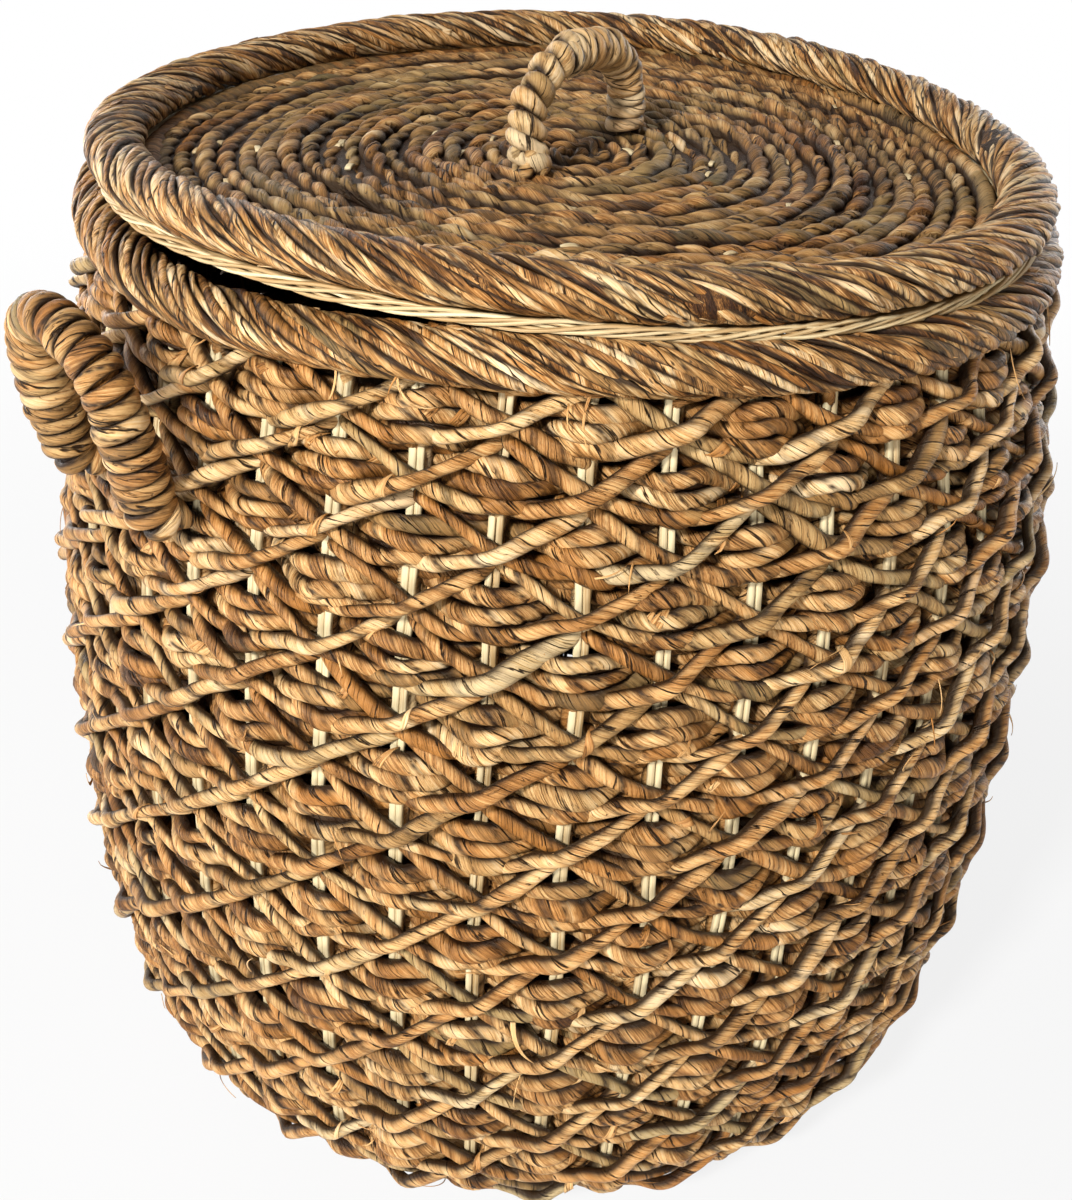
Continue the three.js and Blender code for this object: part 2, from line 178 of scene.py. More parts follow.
def settled(points, body):
    """The soft warp of the rim and lid: both dip at two sides, and the rim sags at one place."""
    front, sag_place, sag_width = math.radians(-44), math.radians(-86), 0.48
    rim_radius, sunk, sag_depth = 0.2, 0.0056, 0.0078
    start, run = 0.3, 0.14
    around = np.arctan2(points[:, 0], -points[:, 1])
    turn = around - front
    r = np.hypot(points[:, 0], points[:, 1]) / rim_radius
    dip = 0.0032 * np.cos(2 * turn) - 0.0023 * np.sin(2 * turn)
    tilt = 0.0016 * np.cos(turn) - 0.0007 * np.sin(turn)
    # The warp starts part of the way up the wall and is whole at the rim.
    share = np.clip((points[:, 2] - start) / run, 0, 1)
    share = share * share * (3 - 2 * share)
    sag = sag_depth * np.exp(-((around - sag_place) / sag_width) ** 2) if body == "basket" else 0
    points = points.copy()
    points[:, 2] += share * (-sunk + dip * r * r + tilt * r - sag)
    return points


def wander(count, waves, rng):
    """A smooth uneven line of about unit size that joins up end to end."""
    t = np.arange(count) / count * 2 * math.pi
    line = np.zeros(count)
    for k in range(1, waves + 1):
        line += rng.normal() * np.cos(k * t) + rng.normal() * np.sin(k * t)
    return line / max(math.sqrt(waves), 1)


def run_length(points):
    """The distance run along a path up to each of its points."""
    return np.append(0, np.cumsum(np.linalg.norm(np.diff(points, axis=0), axis=1)))


def read_at(at, s, values):
    """Rows of three values that go with a path, read at other distances along it."""
    return np.stack([np.interp(at, s, values[:, i]) for i in range(3)], -1)


def evenly(path, step, closed, *others):
    """The path and values along it, read again at even steps."""
    both = [np.vstack([value, value[:1]]) if closed else value for value in (path, *others)]
    s = run_length(both[0])
    count = max(int(round(s[-1] / step)), 3)
    at = np.arange(count) * s[-1] / count if closed else np.linspace(0, s[-1], count)
    return [read_at(at, s, value) for value in both], s[-1]


def across(path, outward, closed):
    """The two directions across a path, the first one outward."""
    if closed:
        tangent = unit(np.roll(path, -1, 0) - np.roll(path, 1, 0))
    else:
        tangent = unit(np.gradient(path, axis=0))
    n1 = unit(outward - (outward * tangent).sum(-1, keepdims=True) * tangent)
    return n1, np.cross(tangent, n1)


def tube(points, closed, grain, leaf, painted_shade):
    """A tube as rings of points, with the values that its points carry."""
    return {
        "points": points.reshape(-1, 3),
        "rings": points.shape[0],
        "sides": points.shape[1],
        "closed": closed,
        "grain": grain.reshape(-1, 3),
        "leaf": leaf.reshape(-1, 3),
        "painted_shade": painted_shade.reshape(-1),
    }


def rope(path, outward, radius, rng, closed=False, lay=0.016, folds=2, depth=0.2, sides=14,
         step=0.0018, flat=1.0, tone=0.5, spread=0.16, leaf=0.13, uneven=0.08, ends=0.0,
         plump=2.2, lobes=0.05, flank=1.15, swell=None, warm=0.05, grey=-0.25, sharp=1.0):
    """One twisted leaf rope: a tube with folds and lapped leaf edges that turn with its lay."""
    wave_length, most_waves, shade_count, pattern_length = 0.05, 40, 997, 30
    fold_sway, fold_share, lap_share, oval_share, leaf_slant, tint_spread = (
        0.14, 0.75, 0.35, 0.06, 0.12, 0.3)
    others = (outward,) if swell is None else (outward, np.stack([swell] * 3, -1))
    found, length = evenly(path, step, closed, *others)
    path, outward = found[0], found[1]
    count = len(path)
    s = np.arange(count) * length / (count if closed else count - 1)
    n1, n2 = across(path, outward, closed)
    turns = round(length / lay) if closed else length / lay
    # The seam of the tube lies at the back, where nothing shows it.
    phi = (np.arange(sides) / sides - 0.5) * 2 * math.pi
    waves = min(max(int(length / wave_length), 2), most_waves)
    around = phi[None, :] - (2 * math.pi * turns * s / length)[:, None]
    # The place in the run of folds: whole numbers are the valleys between them.
    place = folds * around / (2 * math.pi) + (fold_sway * wander(count, waves, rng))[:, None]
    fold = 1 - np.abs(np.sin(math.pi * place))
    valley = fold**plump
    lap = np.mod(place, 1)
    band = np.floor(place).astype(int)
    # Each fold is deeper in some places and shallower in others.
    strength = np.stack([0.75 + 0.4 * wander(count, waves, rng) for _ in range(folds)])
    strength = np.clip(strength, 0.1, 1.35)[np.mod(band, folds), np.arange(count)[:, None]]
    size = radius * (1 + uneven * wander(count, waves, rng))
    if swell is not None:
        size = size * found[2][:, 0]
    if ends:
        edge = np.minimum(s, length - s) / ends
        size = size * np.sqrt(np.clip(1 - (1 - np.clip(edge, 0, 1)) ** 2, 0.02, 1))
    oval = oval_share * np.cos(2 * phi[None, :] + (2.5 * wander(count, waves, rng))[:, None])
    dent = fold_share * valley + lap_share * lap * (1 - valley)
    r = size[:, None] * (1 + oval - depth * strength * dent)
    points = (
        path[:, None]
        + (r * np.cos(phi) * flat)[..., None] * n1[:, None]
        + (r * np.sin(phi))[..., None] * n2[:, None]
    )
    # Each leaf of the rope has its own tone and tints, and takes over on a slant.
    leaves = max(int(round(length / leaf)), 1)
    number = np.floor(s[:, None] / length * leaves + leaf_slant * np.cos(around) + rng.random())
    number = np.mod(number, leaves + (0 if closed else 2)).astype(int)
    table = np.stack([
        np.clip(rng.normal(tone, spread, leaves + 2), 0.02, 0.98),
        np.clip(rng.normal(warm, tint_spread, leaves + 2), 0, 1),
        np.clip(rng.normal(grey, tint_spread, leaves + 2), 0, 1),
    ], -1)
    shade = rng.normal(0, lobes, shade_count)
    colour = table[number]
    colour[..., 0] += shade[np.mod(band, shade_count)]
    # Painted shade: the rope is darkened in its folds and on the sides that its neighbours shade.
    side_shade = np.clip((0.95 - np.cos(phi)) * flank, 0, 1)[None, :] ** 1.4
    dark = 1 - (1 - np.clip(fold**3 * strength * sharp, 0, 1)) * (1 - side_shade)
    # Each rope starts elsewhere along the pattern, so no two look alike.
    shift = pattern_length * rng.random()
    grain = np.stack([np.cos(around) * radius, np.sin(around) * radius,
                      np.broadcast_to(s[:, None] + shift, around.shape)], -1)
    return tube(points, closed, grain, colour, dark)


def strip(path, outward, width, thick, rng, step=0.006, closed=False, leaf=None, taper=0.0):
    """One flat strip of cane, reed or leaf, with rounded edges."""
    (path, outward), length = evenly(path, step, closed, outward)
    count = len(path)
    n1, n2 = across(path, outward, closed)
    corner = np.array([
        (1, -0.7), (1, 0.7), (0.6, 1), (-0.6, 1), (-1, 0.7), (-1, -0.7), (-0.6, -1), (0.6, -1),
    ])
    a, b = corner[:, 0] * thick / 2, corner[:, 1] * width / 2
    s = np.arange(count) * length / count
    narrow = 1 - taper * np.linspace(0, 1, count) ** 2
    points = path[:, None] + a[:, None] * n1[:, None]
    points = points + (narrow[:, None] * b)[..., None] * n2[:, None]
    shape = points.shape[:2]
    shift = rng.random(3) * 0.9
    grain = np.stack([np.broadcast_to(a, shape), np.broadcast_to(b, shape),
                      np.broadcast_to(s[:, None], shape)], -1) + shift
    if leaf is None:
        leaf = (np.clip(rng.normal(0.5, 0.13), 0, 1), 0, 0)
    return tube(points, closed, grain, np.broadcast_to(leaf, (*shape, 3)), np.zeros(shape))


def leaf_laps(path, outward, radius, number, rng, lay=0.0145, tone=0.6, curl=0.0018):
    """Ends of leaves that lie round a rope and lift a little at their tips."""
    step, shortest, longest, spare = 0.0012, 5, 10, 4
    narrow, wider, thick, sunk = 0.002, 0.0028, 0.0004, 0.97
    (path, outward), _ = evenly(path, step, False, outward)
    n1, n2 = across(path, outward, False)
    tubes = []
    for _ in range(number):
        count = int(rng.integers(shortest, longest))
        start = int(rng.integers(spare, len(path) - count - spare))
        at = np.arange(start, start + count)
        t = np.linspace(0, 1, count)
        phi = 0.9 - 2 * math.pi * t * count * step / lay * 0.9 + rng.normal(0, 0.4)
        away = unit(spoke(phi, n1[at], n2[at]))
        lift = radius * sunk + curl * rng.random() * t**3
        line = path[at] + lift[:, None] * away
        leaf = (np.clip(rng.normal(tone, 0.09), 0, 1), 0.7 * rng.random() ** 3, 0)
        tubes.append(strip(line, away, narrow + wider * rng.random(), thick, rng,
                           step=0.0014, leaf=leaf, taper=0.85))
    return tubes


def woven_mesh(name, tubes, body):
    """All tubes as one mesh, with the lay, leaf colour and painted shade kept at its points."""
    points = np.concatenate([t["points"] for t in tubes])
    loops, sizes, base = [], [], 0
    for t in tubes:
        rings, sides = t["rings"], t["sides"]
        spans = rings if t["closed"] else rings - 1
        i = np.arange(spans)[:, None] * sides
        n = (np.arange(1, spans + 1) % rings)[:, None] * sides
        j = np.arange(sides)[None, :]
        k = (j + 1) % sides
        quads = np.stack([i + j, i + k, n + k, n + j], -1).reshape(-1, 4) + base
        loops.append(quads.reshape(-1))
        sizes.append(np.full(len(quads), 4))
        if not t["closed"]:
            last = (rings - 1) * sides
            loops.append(np.arange(sides)[::-1] + base)
            loops.append(np.arange(sides) + base + last)
            sizes.append(np.array([sides, sides]))
        base += rings * sides
    loops, sizes = np.concatenate(loops), np.concatenate(sizes)
    mesh = bpy.data.meshes.new(name)
    mesh.vertices.add(len(points))
    mesh.vertices.foreach_set("co", settled(points, body).astype(np.float32).reshape(-1))
    mesh.loops.add(len(loops))
    mesh.loops.foreach_set("vertex_index", loops.astype(np.int32))
    mesh.polygons.add(len(sizes))
    starts = np.append(0, np.cumsum(sizes)[:-1])
    mesh.polygons.foreach_set("loop_start", starts.astype(np.int32))
    mesh.update(calc_edges=True)
    mesh.polygons.foreach_set("use_smooth", np.ones(len(sizes), bool))
    for key in ("grain", "leaf"):
        values = np.concatenate([t[key] for t in tubes]).astype(np.float32).reshape(-1)
        mesh.attributes.new(key, "FLOAT_VECTOR", "POINT").data.foreach_set("vector", values)
    values = np.concatenate([t["painted_shade"] for t in tubes]).astype(np.float32)
    mesh.attributes.new("painted_shade", "FLOAT", "POINT").data.foreach_set("value", values)
    mesh.validate()
    return mesh


def piece(name, tubes, finish, body, stands_for=()):
    """One piece of the basket in a named finish, riding on its body. It may stand for nodes of the
    frame."""
    obj = bpy.data.objects.new(name, woven_mesh(name, tubes, body))
    bpy.context.scene.collection.objects.link(obj)
    obj.data.materials.append(material_for(finish))
    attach(obj, body)
    if stands_for:
        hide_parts(*stands_for)


def add(tree, kind, sockets=None, stops=None, **settings):
    """Adds a node with its settings, its colour stops, and its sockets' values or links. Gives
    its outputs."""
    made = tree.nodes.new(kind)
    for name, value in settings.items():
        setattr(made, name, value)
    if stops:
        ramp = made.color_ramp
        while len(ramp.elements) < len(stops):
            ramp.elements.new(0.5)
        for element, (place, colour) in zip(ramp.elements, stops):
            element.position = place
            element.color = (*colour, 1)
    for name, value in (sockets or {}).items():
        socket = made.inputs[name]
        if isinstance(value, bpy.types.NodeSocket):
            tree.links.new(value, socket)
        else:
            socket.default_value = value
    return made.outputs


MATH = "ShaderNodeMath"
RANGE = "ShaderNodeMapRange"
NOISE = "ShaderNodeTexNoise"
VECTOR = "ShaderNodeVectorMath"
MIX = "ShaderNodeMix"


def empty_tree(owner):
    """The node tree of a material or a world, emptied."""
    owner.use_nodes = True
    owner.node_tree.nodes.clear()
    return owner.node_tree


def woven_values(tree):
    """What the mesh carries: the place along and round a rope, its leaf, and its painted shade."""
    names = (("grain", "Vector"), ("leaf", "Vector"), ("painted_shade", "Fac"))
    return [
        add(tree, "ShaderNodeAttribute", attribute_name=name)[kind] for name, kind in names
    ]


def leaf_material(name, colours, lift, gloss, mottle):
    """Dried banana leaf twisted into rope. The eye gets long fibres and sharp folds that turn with
    the twist, painted shade in the folds and wrinkles, darkened blotches, painted shade between
    the ropes, a painted sheen between the wrinkles and a waxy shine."""
    material = bpy.data.materials.new(name)
    tree = empty_tree(material)
    grain, leaf, painted_shade = woven_values(tree)
    parts = add(tree, "ShaderNodeSeparateXYZ", {"Vector": leaf})
    place = add(tree, "ShaderNodeSeparateXYZ", {"Vector": grain})
    angle = add(tree, MATH, {0: place["Y"], 1: place["X"]}, operation="ARCTAN2")[0]

    # Fibres 0.5 mm wide and 16 mm long, blotches of 9 by 18 mm, torn spots of 2 by 4 mm, and
    # folds that wander over 4 mm across and 12 mm along.
    noises = []
    for wide, long, detail, roughness in (
        (0.0005, 0.016, 4, 0.6), (0.009, 0.018, 5, 0.6), (0.002, 0.004, 3, 0.5),
        (0.004, 0.012, 2, 0.5),
    ):
        sockets = {0: grain, 1: (wide, wide, long)}
        at = add(tree, VECTOR, sockets, operation="DIVIDE")["Vector"]
        sockets = {"Vector": at, "Scale": 1, "Detail": detail, "Roughness": roughness}
        noises.append(add(tree, NOISE, sockets)["Fac"])
    fibre, blotch, speck, drift = noises

    # One fold round the rope, five finer wrinkles, and eleven close ones in dark stretches. Their
    # lines darken the colour below as painted shade in the creases.
    waves, lines = [], []
    for times, sway, start, end, interpolation in (
        (0.5, 1.6, 0.02, 0.09, "SMOOTHSTEP"), (2.5, 8.0, 0.0, 0.12, "LINEAR"),
        (5.5, 12.0, 0.0, 0.28, "LINEAR"),
    ):
        wave = add(tree, MATH, {0: angle, 1: times}, operation="MULTIPLY")[0]
        wave = add(tree, MATH, {0: drift, 1: sway, 2: wave}, operation="MULTIPLY_ADD")[0]
        for operation in ("SINE", "ABSOLUTE"):
            wave = add(tree, MATH, {0: wave}, operation=operation)[0]
        sockets = {"Value": wave, "From Min": start, "From Max": end, "To Min": 1.0, "To Max": 0.0}
        line = add(tree, RANGE, sockets, interpolation_type=interpolation)["Result"]
        waves.append(wave)
        lines.append(line)
    fold_line, wide_line, close_line = lines
    where = add(tree, RANGE, {"Value": blotch, "From Min": 0.5, "From Max": 0.62})["Result"]
    close_line = add(tree, MATH, {0: close_line, 1: where}, operation="MULTIPLY")[0]
    sockets = {0: wide_line, 1: close_line}
    fine_line = add(tree, MATH, sockets, operation="MAXIMUM")[0]

    # The leaf's own tone, with its blotches and fibres, as a place on the run of colours. It is
    # made paler between the wrinkles: a painted sheen on their ridges.
    level = add(tree, MATH, {0: parts["X"], 1: lift}, operation="ADD")[0]
    level = add(tree, MATH, {0: waves[1], 1: 0.1, 2: level}, operation="MULTIPLY_ADD")[0]
    for texture, strength in ((blotch, -0.28 * mottle), (fibre, 0.27 * mottle)):
        sockets = {"Value": texture, "From Min": 0.3, "From Max": 0.7,
                   "To Min": -strength, "To Max": strength}
        patch = add(tree, RANGE, sockets)["Result"]
        level = add(tree, MATH, {0: level, 1: patch}, operation="ADD")[0]
    shades = (colours.leaf_deep, colours.leaf_dark, colours.leaf_middle, colours.leaf_light,
              colours.leaf_pale)
    stops = [(i / (len(shades) - 1), tuple(shade)) for i, shade in enumerate(shades)]
    colour = add(tree, "ShaderNodeValToRGB", {"Fac": level}, stops=stops)["Color"]
    for part, strength, tint in (
        (parts["Y"], 0.5, colours.leaf_warm), (parts["Z"], 0.65, colours.leaf_grey),
    ):
        share = add(tree, MATH, {0: part, 1: strength}, operation="MULTIPLY")[0]
        sockets = {0: share, 6: colour, 7: (*tint, 1)}
        colour = add(tree, MIX, sockets, data_type="RGBA")[2]

    # Painted shade in the folds, the wrinkles and the shaded rope sides, and the torn spots, take
    # it down to a brown that is nearly black.
    deepest = tuple(0.45 * part for part in colours.leaf_deep)
    shade = 1.0
    for texture, start, end, darkest in (
        (fold_line, 0.0, 1.0, 0.06), (fine_line, 0.0, 1.0, 0.5), (painted_shade, 0.08, 0.85, 0.04),
        (speck, 0.66, 0.72, 0.25),
    ):
        sockets = {"Value": texture, "From Min": start, "From Max": end,
                   "To Min": 1.0, "To Max": darkest}
        layer = add(tree, RANGE, sockets)["Result"]
        shade = add(tree, MATH, {0: shade, 1: layer}, operation="MULTIPLY")[0]
    sockets = {0: shade, 6: (*deepest, 1), 7: colour}
    colour = add(tree, MIX, sockets, data_type="RGBA")[2]

    sockets = {"Value": fibre, "From Min": 0.3, "From Max": 0.7,
               "To Min": gloss + 0.16, "To Max": gloss - 0.1}
    rough = add(tree, RANGE, sockets)["Result"]
    height = 0.0
    for texture, strength in ((fold_line, -0.9), (fibre, 0.4), (fine_line, -0.5)):
        sockets = {0: texture, 1: strength, 2: height}
        height = add(tree, MATH, sockets, operation="MULTIPLY_ADD")[0]
    sockets = {"Strength": 1.0, "Distance": 0.0015, "Height": height}
    bump = add(tree, "ShaderNodeBump", sockets)["Normal"]
    sockets = {"Base Color": colour, "Roughness": rough, "Normal": bump, "IOR": 1.47,
               "Specular IOR Level": 0.36, "Specular Tint": (1, 0.86, 0.66, 1)}
    shader = add(tree, "ShaderNodeBsdfPrincipled", sockets)[0]
    add(tree, "ShaderNodeOutputMaterial", {"Surface": shader})
    return material


def reed_material(name, colours, lift):
    """Split rattan, shaved flat. The eye gets a pale dry face with thin straight pores, and
    browner stains along it."""
    material = bpy.data.materials.new(name)
    tree = empty_tree(material)
    grain, leaf, painted_shade = woven_values(tree)
    level = add(tree, "ShaderNodeSeparateXYZ", {"Vector": leaf})["X"]
    # Stains of 11 by 40 mm, and pores 0.5 mm apart and 25 mm long.
    for wide, long, detail in ((0.011, 0.04, 4), (0.0005, 0.025, 3)):
        sockets = {0: grain, 1: (wide, wide, long)}
        at = add(tree, VECTOR, sockets, operation="DIVIDE")["Vector"]
        pores = add(tree, NOISE, {"Vector": at, "Scale": 1, "Detail": detail})["Fac"]
        level = add(tree, MATH, {0: level, 1: pores}, operation="ADD")[0]
    sockets = {"Value": level, "From Min": 1.0 - lift, "From Max": 2.0 - lift}
    share = add(tree, RANGE, sockets)["Result"]
    stops = [(0.1, tuple(colours.reed_deep)), (0.6, tuple(colours.reed_pale))]
    colour = add(tree, "ShaderNodeValToRGB", {"Fac": share}, stops=stops)["Color"]
    # Painted shade carried by the mesh darkens the colour; the reed strips carry none.
    sockets = {"Value": painted_shade, "To Min": 1.0, "To Max": 0.3}
    painted_shade_factor = add(tree, RANGE, sockets)["Result"]
    sockets = {0: 1.0, 6: colour, 7: painted_shade_factor}
    colour = add(tree, MIX, sockets, data_type="RGBA", blend_type="MULTIPLY")[2]
    # The pores, the last of the two patterns, also make the bumps.
    sockets = {"Strength": 0.5, "Distance": 0.0003, "Height": pores}
    bump = add(tree, "ShaderNodeBump", sockets)["Normal"]
    sockets = {"Base Color": colour, "Roughness": 0.62, "Normal": bump, "IOR": 1.5}
    shader = add(tree, "ShaderNodeBsdfPrincipled", sockets)[0]
    add(tree, "ShaderNodeOutputMaterial", {"Surface": shader})
    return material


# Each leaf finish: how much paler it is than the leaf's own tone, its roughness and its mottling.
leaf_finishes = {
    "twisted_banana_leaf_wall": (-0.02, 0.38, 0.92),
    "twisted_banana_leaf_lines": (0.0, 0.38, 0.7),
    "twisted_banana_leaf_border": (0.015, 0.44, 1.35),
    "twisted_banana_leaf_mat": (-0.14, 0.5, 1.1),
    "twisted_banana_leaf_handle": (0.04, 0.42, 0.7),
    "dry_leaf_fibre": (0.16, 0.55, 0.5),
}
# Each reed finish: how much paler it is than the reed's own tone.
reed_finishes = {"split_rattan": 0.05, "split_reed_band": -0.16}


def material_for(name):
    """A finish's material, made the first time that a piece asks for it."""
    found = bpy.data.materials.get(name)
    if found:
        return found
    colours = bpy.context.scene.basket_colours
    if name in leaf_finishes:
        return leaf_material(name, colours, *leaf_finishes[name])
    return reed_material(name, colours, reed_finishes[name])


def stake_tubes(sizes):
    """Every stake is a pair of flat splits side by side."""
    rng = np.random.default_rng(7)
    tubes = []
    above, count, apart, thick, lean_size, bow = 0.003, 160, 0.55, 0.0024, 0.0009, 0.0002
    drop = np.linspace(-above, wall_end, count)
    for stake in range(stake_count):
        lean = lean_size * wander(count, 3, rng)
        for side in (-1, 1):
            off = side * sizes.stake_split * apart + lean
            turn = stake_turn(stake) + off / np.interp(drop, wall_drop, wall_r)
            out = bow * wander(count, 5, rng)
            width = sizes.stake_split * rng.uniform(0.9, 1.05)
            path = on_wall(turn, drop, out)
            tubes.append(strip(path, off_wall(turn, drop), width, thick, rng))
    return tubes


def row_ropes(row, sizes):
    """Three ropes woven together before one stake and behind the next."""
    rng = np.random.default_rng(100 + row)
    middle_row, per_stake, waves, slit_waves, laps = 8, 24, 56, 40, 12
    # Where the ropes' middle line lies, how far it swings before and behind the stakes, and how
    # uneven it is up and down and in and out.
    inset, swing_out, uneven_up, uneven_out = -0.0018, 0.0068, 0.0012, 0.0007
    # The middle rope stands out before a stake, and slips in where the outer ones are pinched.
    middle_out, middle_in, outer_out, outer_in = 0.0008, 0.0022, 0.0016, 0.0004
    size_range, lay_range, grey_share, single_share = (0.93, 1.1), (0.0135, 0.02), 0.15, 0.3
    # The ropes are thicker and further apart lower down the wall.
    top_gap, gap_grow, gap_late, thick_grow, thick_late = 0.0062, 0.0021, 0.0008, 0.0006, 0.0002
    grow, late = min(row / middle_row, 1), max(row - middle_row, 0) / middle_row
    thick = sizes.row_rope / 2 + thick_grow * grow + thick_late * late
    gap = top_gap + gap_grow * grow + gap_late * late
    stakes = np.linspace(0, stake_count, stake_count * per_stake, endpoint=False)
    count = len(stakes)
    swing = np.cos(math.pi * (stakes + row))
    away = np.arccos(np.clip(swing, -1, 1)) / math.pi
    # The ropes spread before a stake, and are pinched together as they go behind the next.
    front = np.clip(1 - away / 0.75, 0, 1)
    spread = np.interp(away, (0, 0.25, 0.5, 0.74, 0.88, 1), (1, 0.98, 0.94, 0.72, 0.7, 1.2))
    pinch = np.clip((1 - spread) * 2.4, 0, 1)
    turn = stake_turn(stakes)
    tubes = []
    for place in (-1, 0, 1):
        height = place * gap * spread + uneven_up * wander(count, waves, rng)
        out = inset + swing_out * swing + uneven_out * wander(count, waves, rng)
        if place == 0:
            out += middle_out * front - middle_in * pinch
        else:
            out += outer_out * pinch - outer_in
        drop = row_drop(row) - height
        path, outward = on_wall(turn, drop, out), off_wall(turn, drop)
        plump = 1 + 0.04 * front + 0.08 * wander(count, 50, rng)
        grey = 0.3 if rng.random() < grey_share else -0.25
        folds = 1 if rng.random() < single_share else 2
        tubes.append(rope(path, outward, thick * rng.uniform(*size_range), rng, closed=True,
                          tone=0.49, spread=0.14, lay=rng.uniform(*lay_range), uneven=0.07,
                          leaf=0.075, depth=0.28, folds=folds, swell=plump, grey=grey,
                          flank=1.2))
        tubes += leaf_laps(path, outward, thick * 1.02, laps, rng, tone=0.48)
    # Two thin ropes fill the row from inside, between its three ropes. They face inwards, so the
    # side seen from outside carries full painted side shade.
    filler_inset, filler_swing, filler_size = -0.0043, 0.0062, 0.62
    for place in (-0.5, 0.5):
        drop = row_drop(row) - place * gap * spread
        path = on_wall(turn, drop, filler_inset + filler_swing * swing)
        tubes.append(rope(path, -off_wall(turn, drop), thick * filler_size, rng, closed=True,
                          depth=0.1, sides=8, step=0.0035, tone=0.45, spread=0.08))
    # A thinner rope runs behind the stakes in the slit below each row. It is toned dark: painted
    # shade in the slit.
    slit_inset, slit_size, unevenness = -0.0052, 0.95, 0.0008
    slit = (row_drop(row) + row_drop(row + 1)) / 2 + unevenness * wander(count, slit_waves, rng)
    out = slit_inset + 0.0006 * wander(count, slit_waves, rng)
    tubes.append(rope(on_wall(turn, slit, out), off_wall(turn, slit), thick * slit_size, rng,
                      closed=True, tone=0.2, spread=0.08))
    # A broad flat rope behind that one closes the slit and faces inwards, so from outside it shows
    # full painted side shade. The top row has one above it, too.
    below, above, behind, lowest = row + 0.54, row - 0.42, -0.0088, wall_end - 0.011
    flat_size = 2.1 + 0.4 * late
    for level in (below, above) if row == 0 else (below,):
        back = np.minimum(row_drop(level), lowest) + unevenness * wander(count, slit_waves, rng)
        tubes.append(rope(on_wall(turn, back, behind), -off_wall(turn, back),
                          thick * flat_size, rng, closed=True, flat=0.27, depth=0.16,
                          step=0.003, tone=0.45, spread=0.1, flank=0.9))
    return tubes


def line_strand(stake, row, outs, slant, rng):
    """One strand of a twined line, from under the rim to the foot."""
    repeats, sampling, rounding, waves = 11, 0.12, 11, 18
    uneven_down, uneven_along, uneven_out = 0.0011, 0.0035, 0.0005
    one = np.column_stack([bends, outs])
    points = np.concatenate([one + (2 * i, 2 * i, 0) for i in range(-repeats, repeats + 1)])
    t = np.arange(len(points), dtype=float)
    at = np.arange(0, len(points) - 1, sampling)
    along, up, out = (smooth_curve(t, points[:, i], at) for i in range(3))
    # The rope is stiff, so its bends are rounded.
    stiffness = np.hanning(rounding) / np.hanning(rounding).sum()
    along, up = (np.convolve(value, stiffness, "same") for value in (along, up))
    # It starts above the first row, where it comes out from under the rim.
    first, emerging, lowest = -0.75, 0.6, wall_end - 0.006
    rows = row - up
    keep = (rows > first) & (row_drop(np.maximum(rows, -2)) < lowest)
    along, rows, out = along[keep], rows[keep], out[keep]
    count = len(along)
    drop = np.minimum(row_drop(rows) + uneven_down * wander(count, waves, rng), lowest)
    turn = stake_turn(stake + slant * along) + uneven_along * wander(count, waves, rng)
    out = out * np.clip((rows - first) / emerging, 0, 1) + uneven_out * wander(count, 22, rng)
    return on_wall(turn, drop, out), off_wall(turn, drop)


def line_tubes(line, outs, slant, thick):
    """The two strands of one line. They take turns at passing over the stakes."""
    seed, tone_here = (300, 0.55) if slant > 0 else (600, 0.49)
    size_range, lay_range, tone_spread = (0.88, 1.1), (0.012, 0.019), 0.07
    rng = np.random.default_rng(seed + line)
    # How warm and how grey a strand is, and how much paler than the others.
    kinds = ((0.0, -0.3, 0.0), (0.45, -0.4, 0.0), (-0.4, 0.5, 0.12), (0.1, -0.1, 0.0))
    tubes = []
    for strand in (0, 1):
        # A line crosses the stakes where stake and row add to an odd number.
        stake, row = 2 * line + slant * strand, 9 - strand
        path, outward = line_strand(stake, row, outs, slant, rng)
        tone = tone_here + rng.normal(0, tone_spread)
        radius = thick / 2 * rng.uniform(*size_range)
        warm, grey, paler = kinds[rng.integers(len(kinds))]
        tubes.append(rope(path, outward, radius, rng, tone=tone + paler, spread=0.08, depth=0.16,
                          folds=1, lay=rng.uniform(*lay_range), uneven=0.11, leaf=0.16,
                          ends=0.003, warm=warm, grey=grey, sharp=0.8, flank=1.1))
        tubes += leaf_laps(path, outward, radius * 1.02, 2, rng, tone=tone)
    return tubes


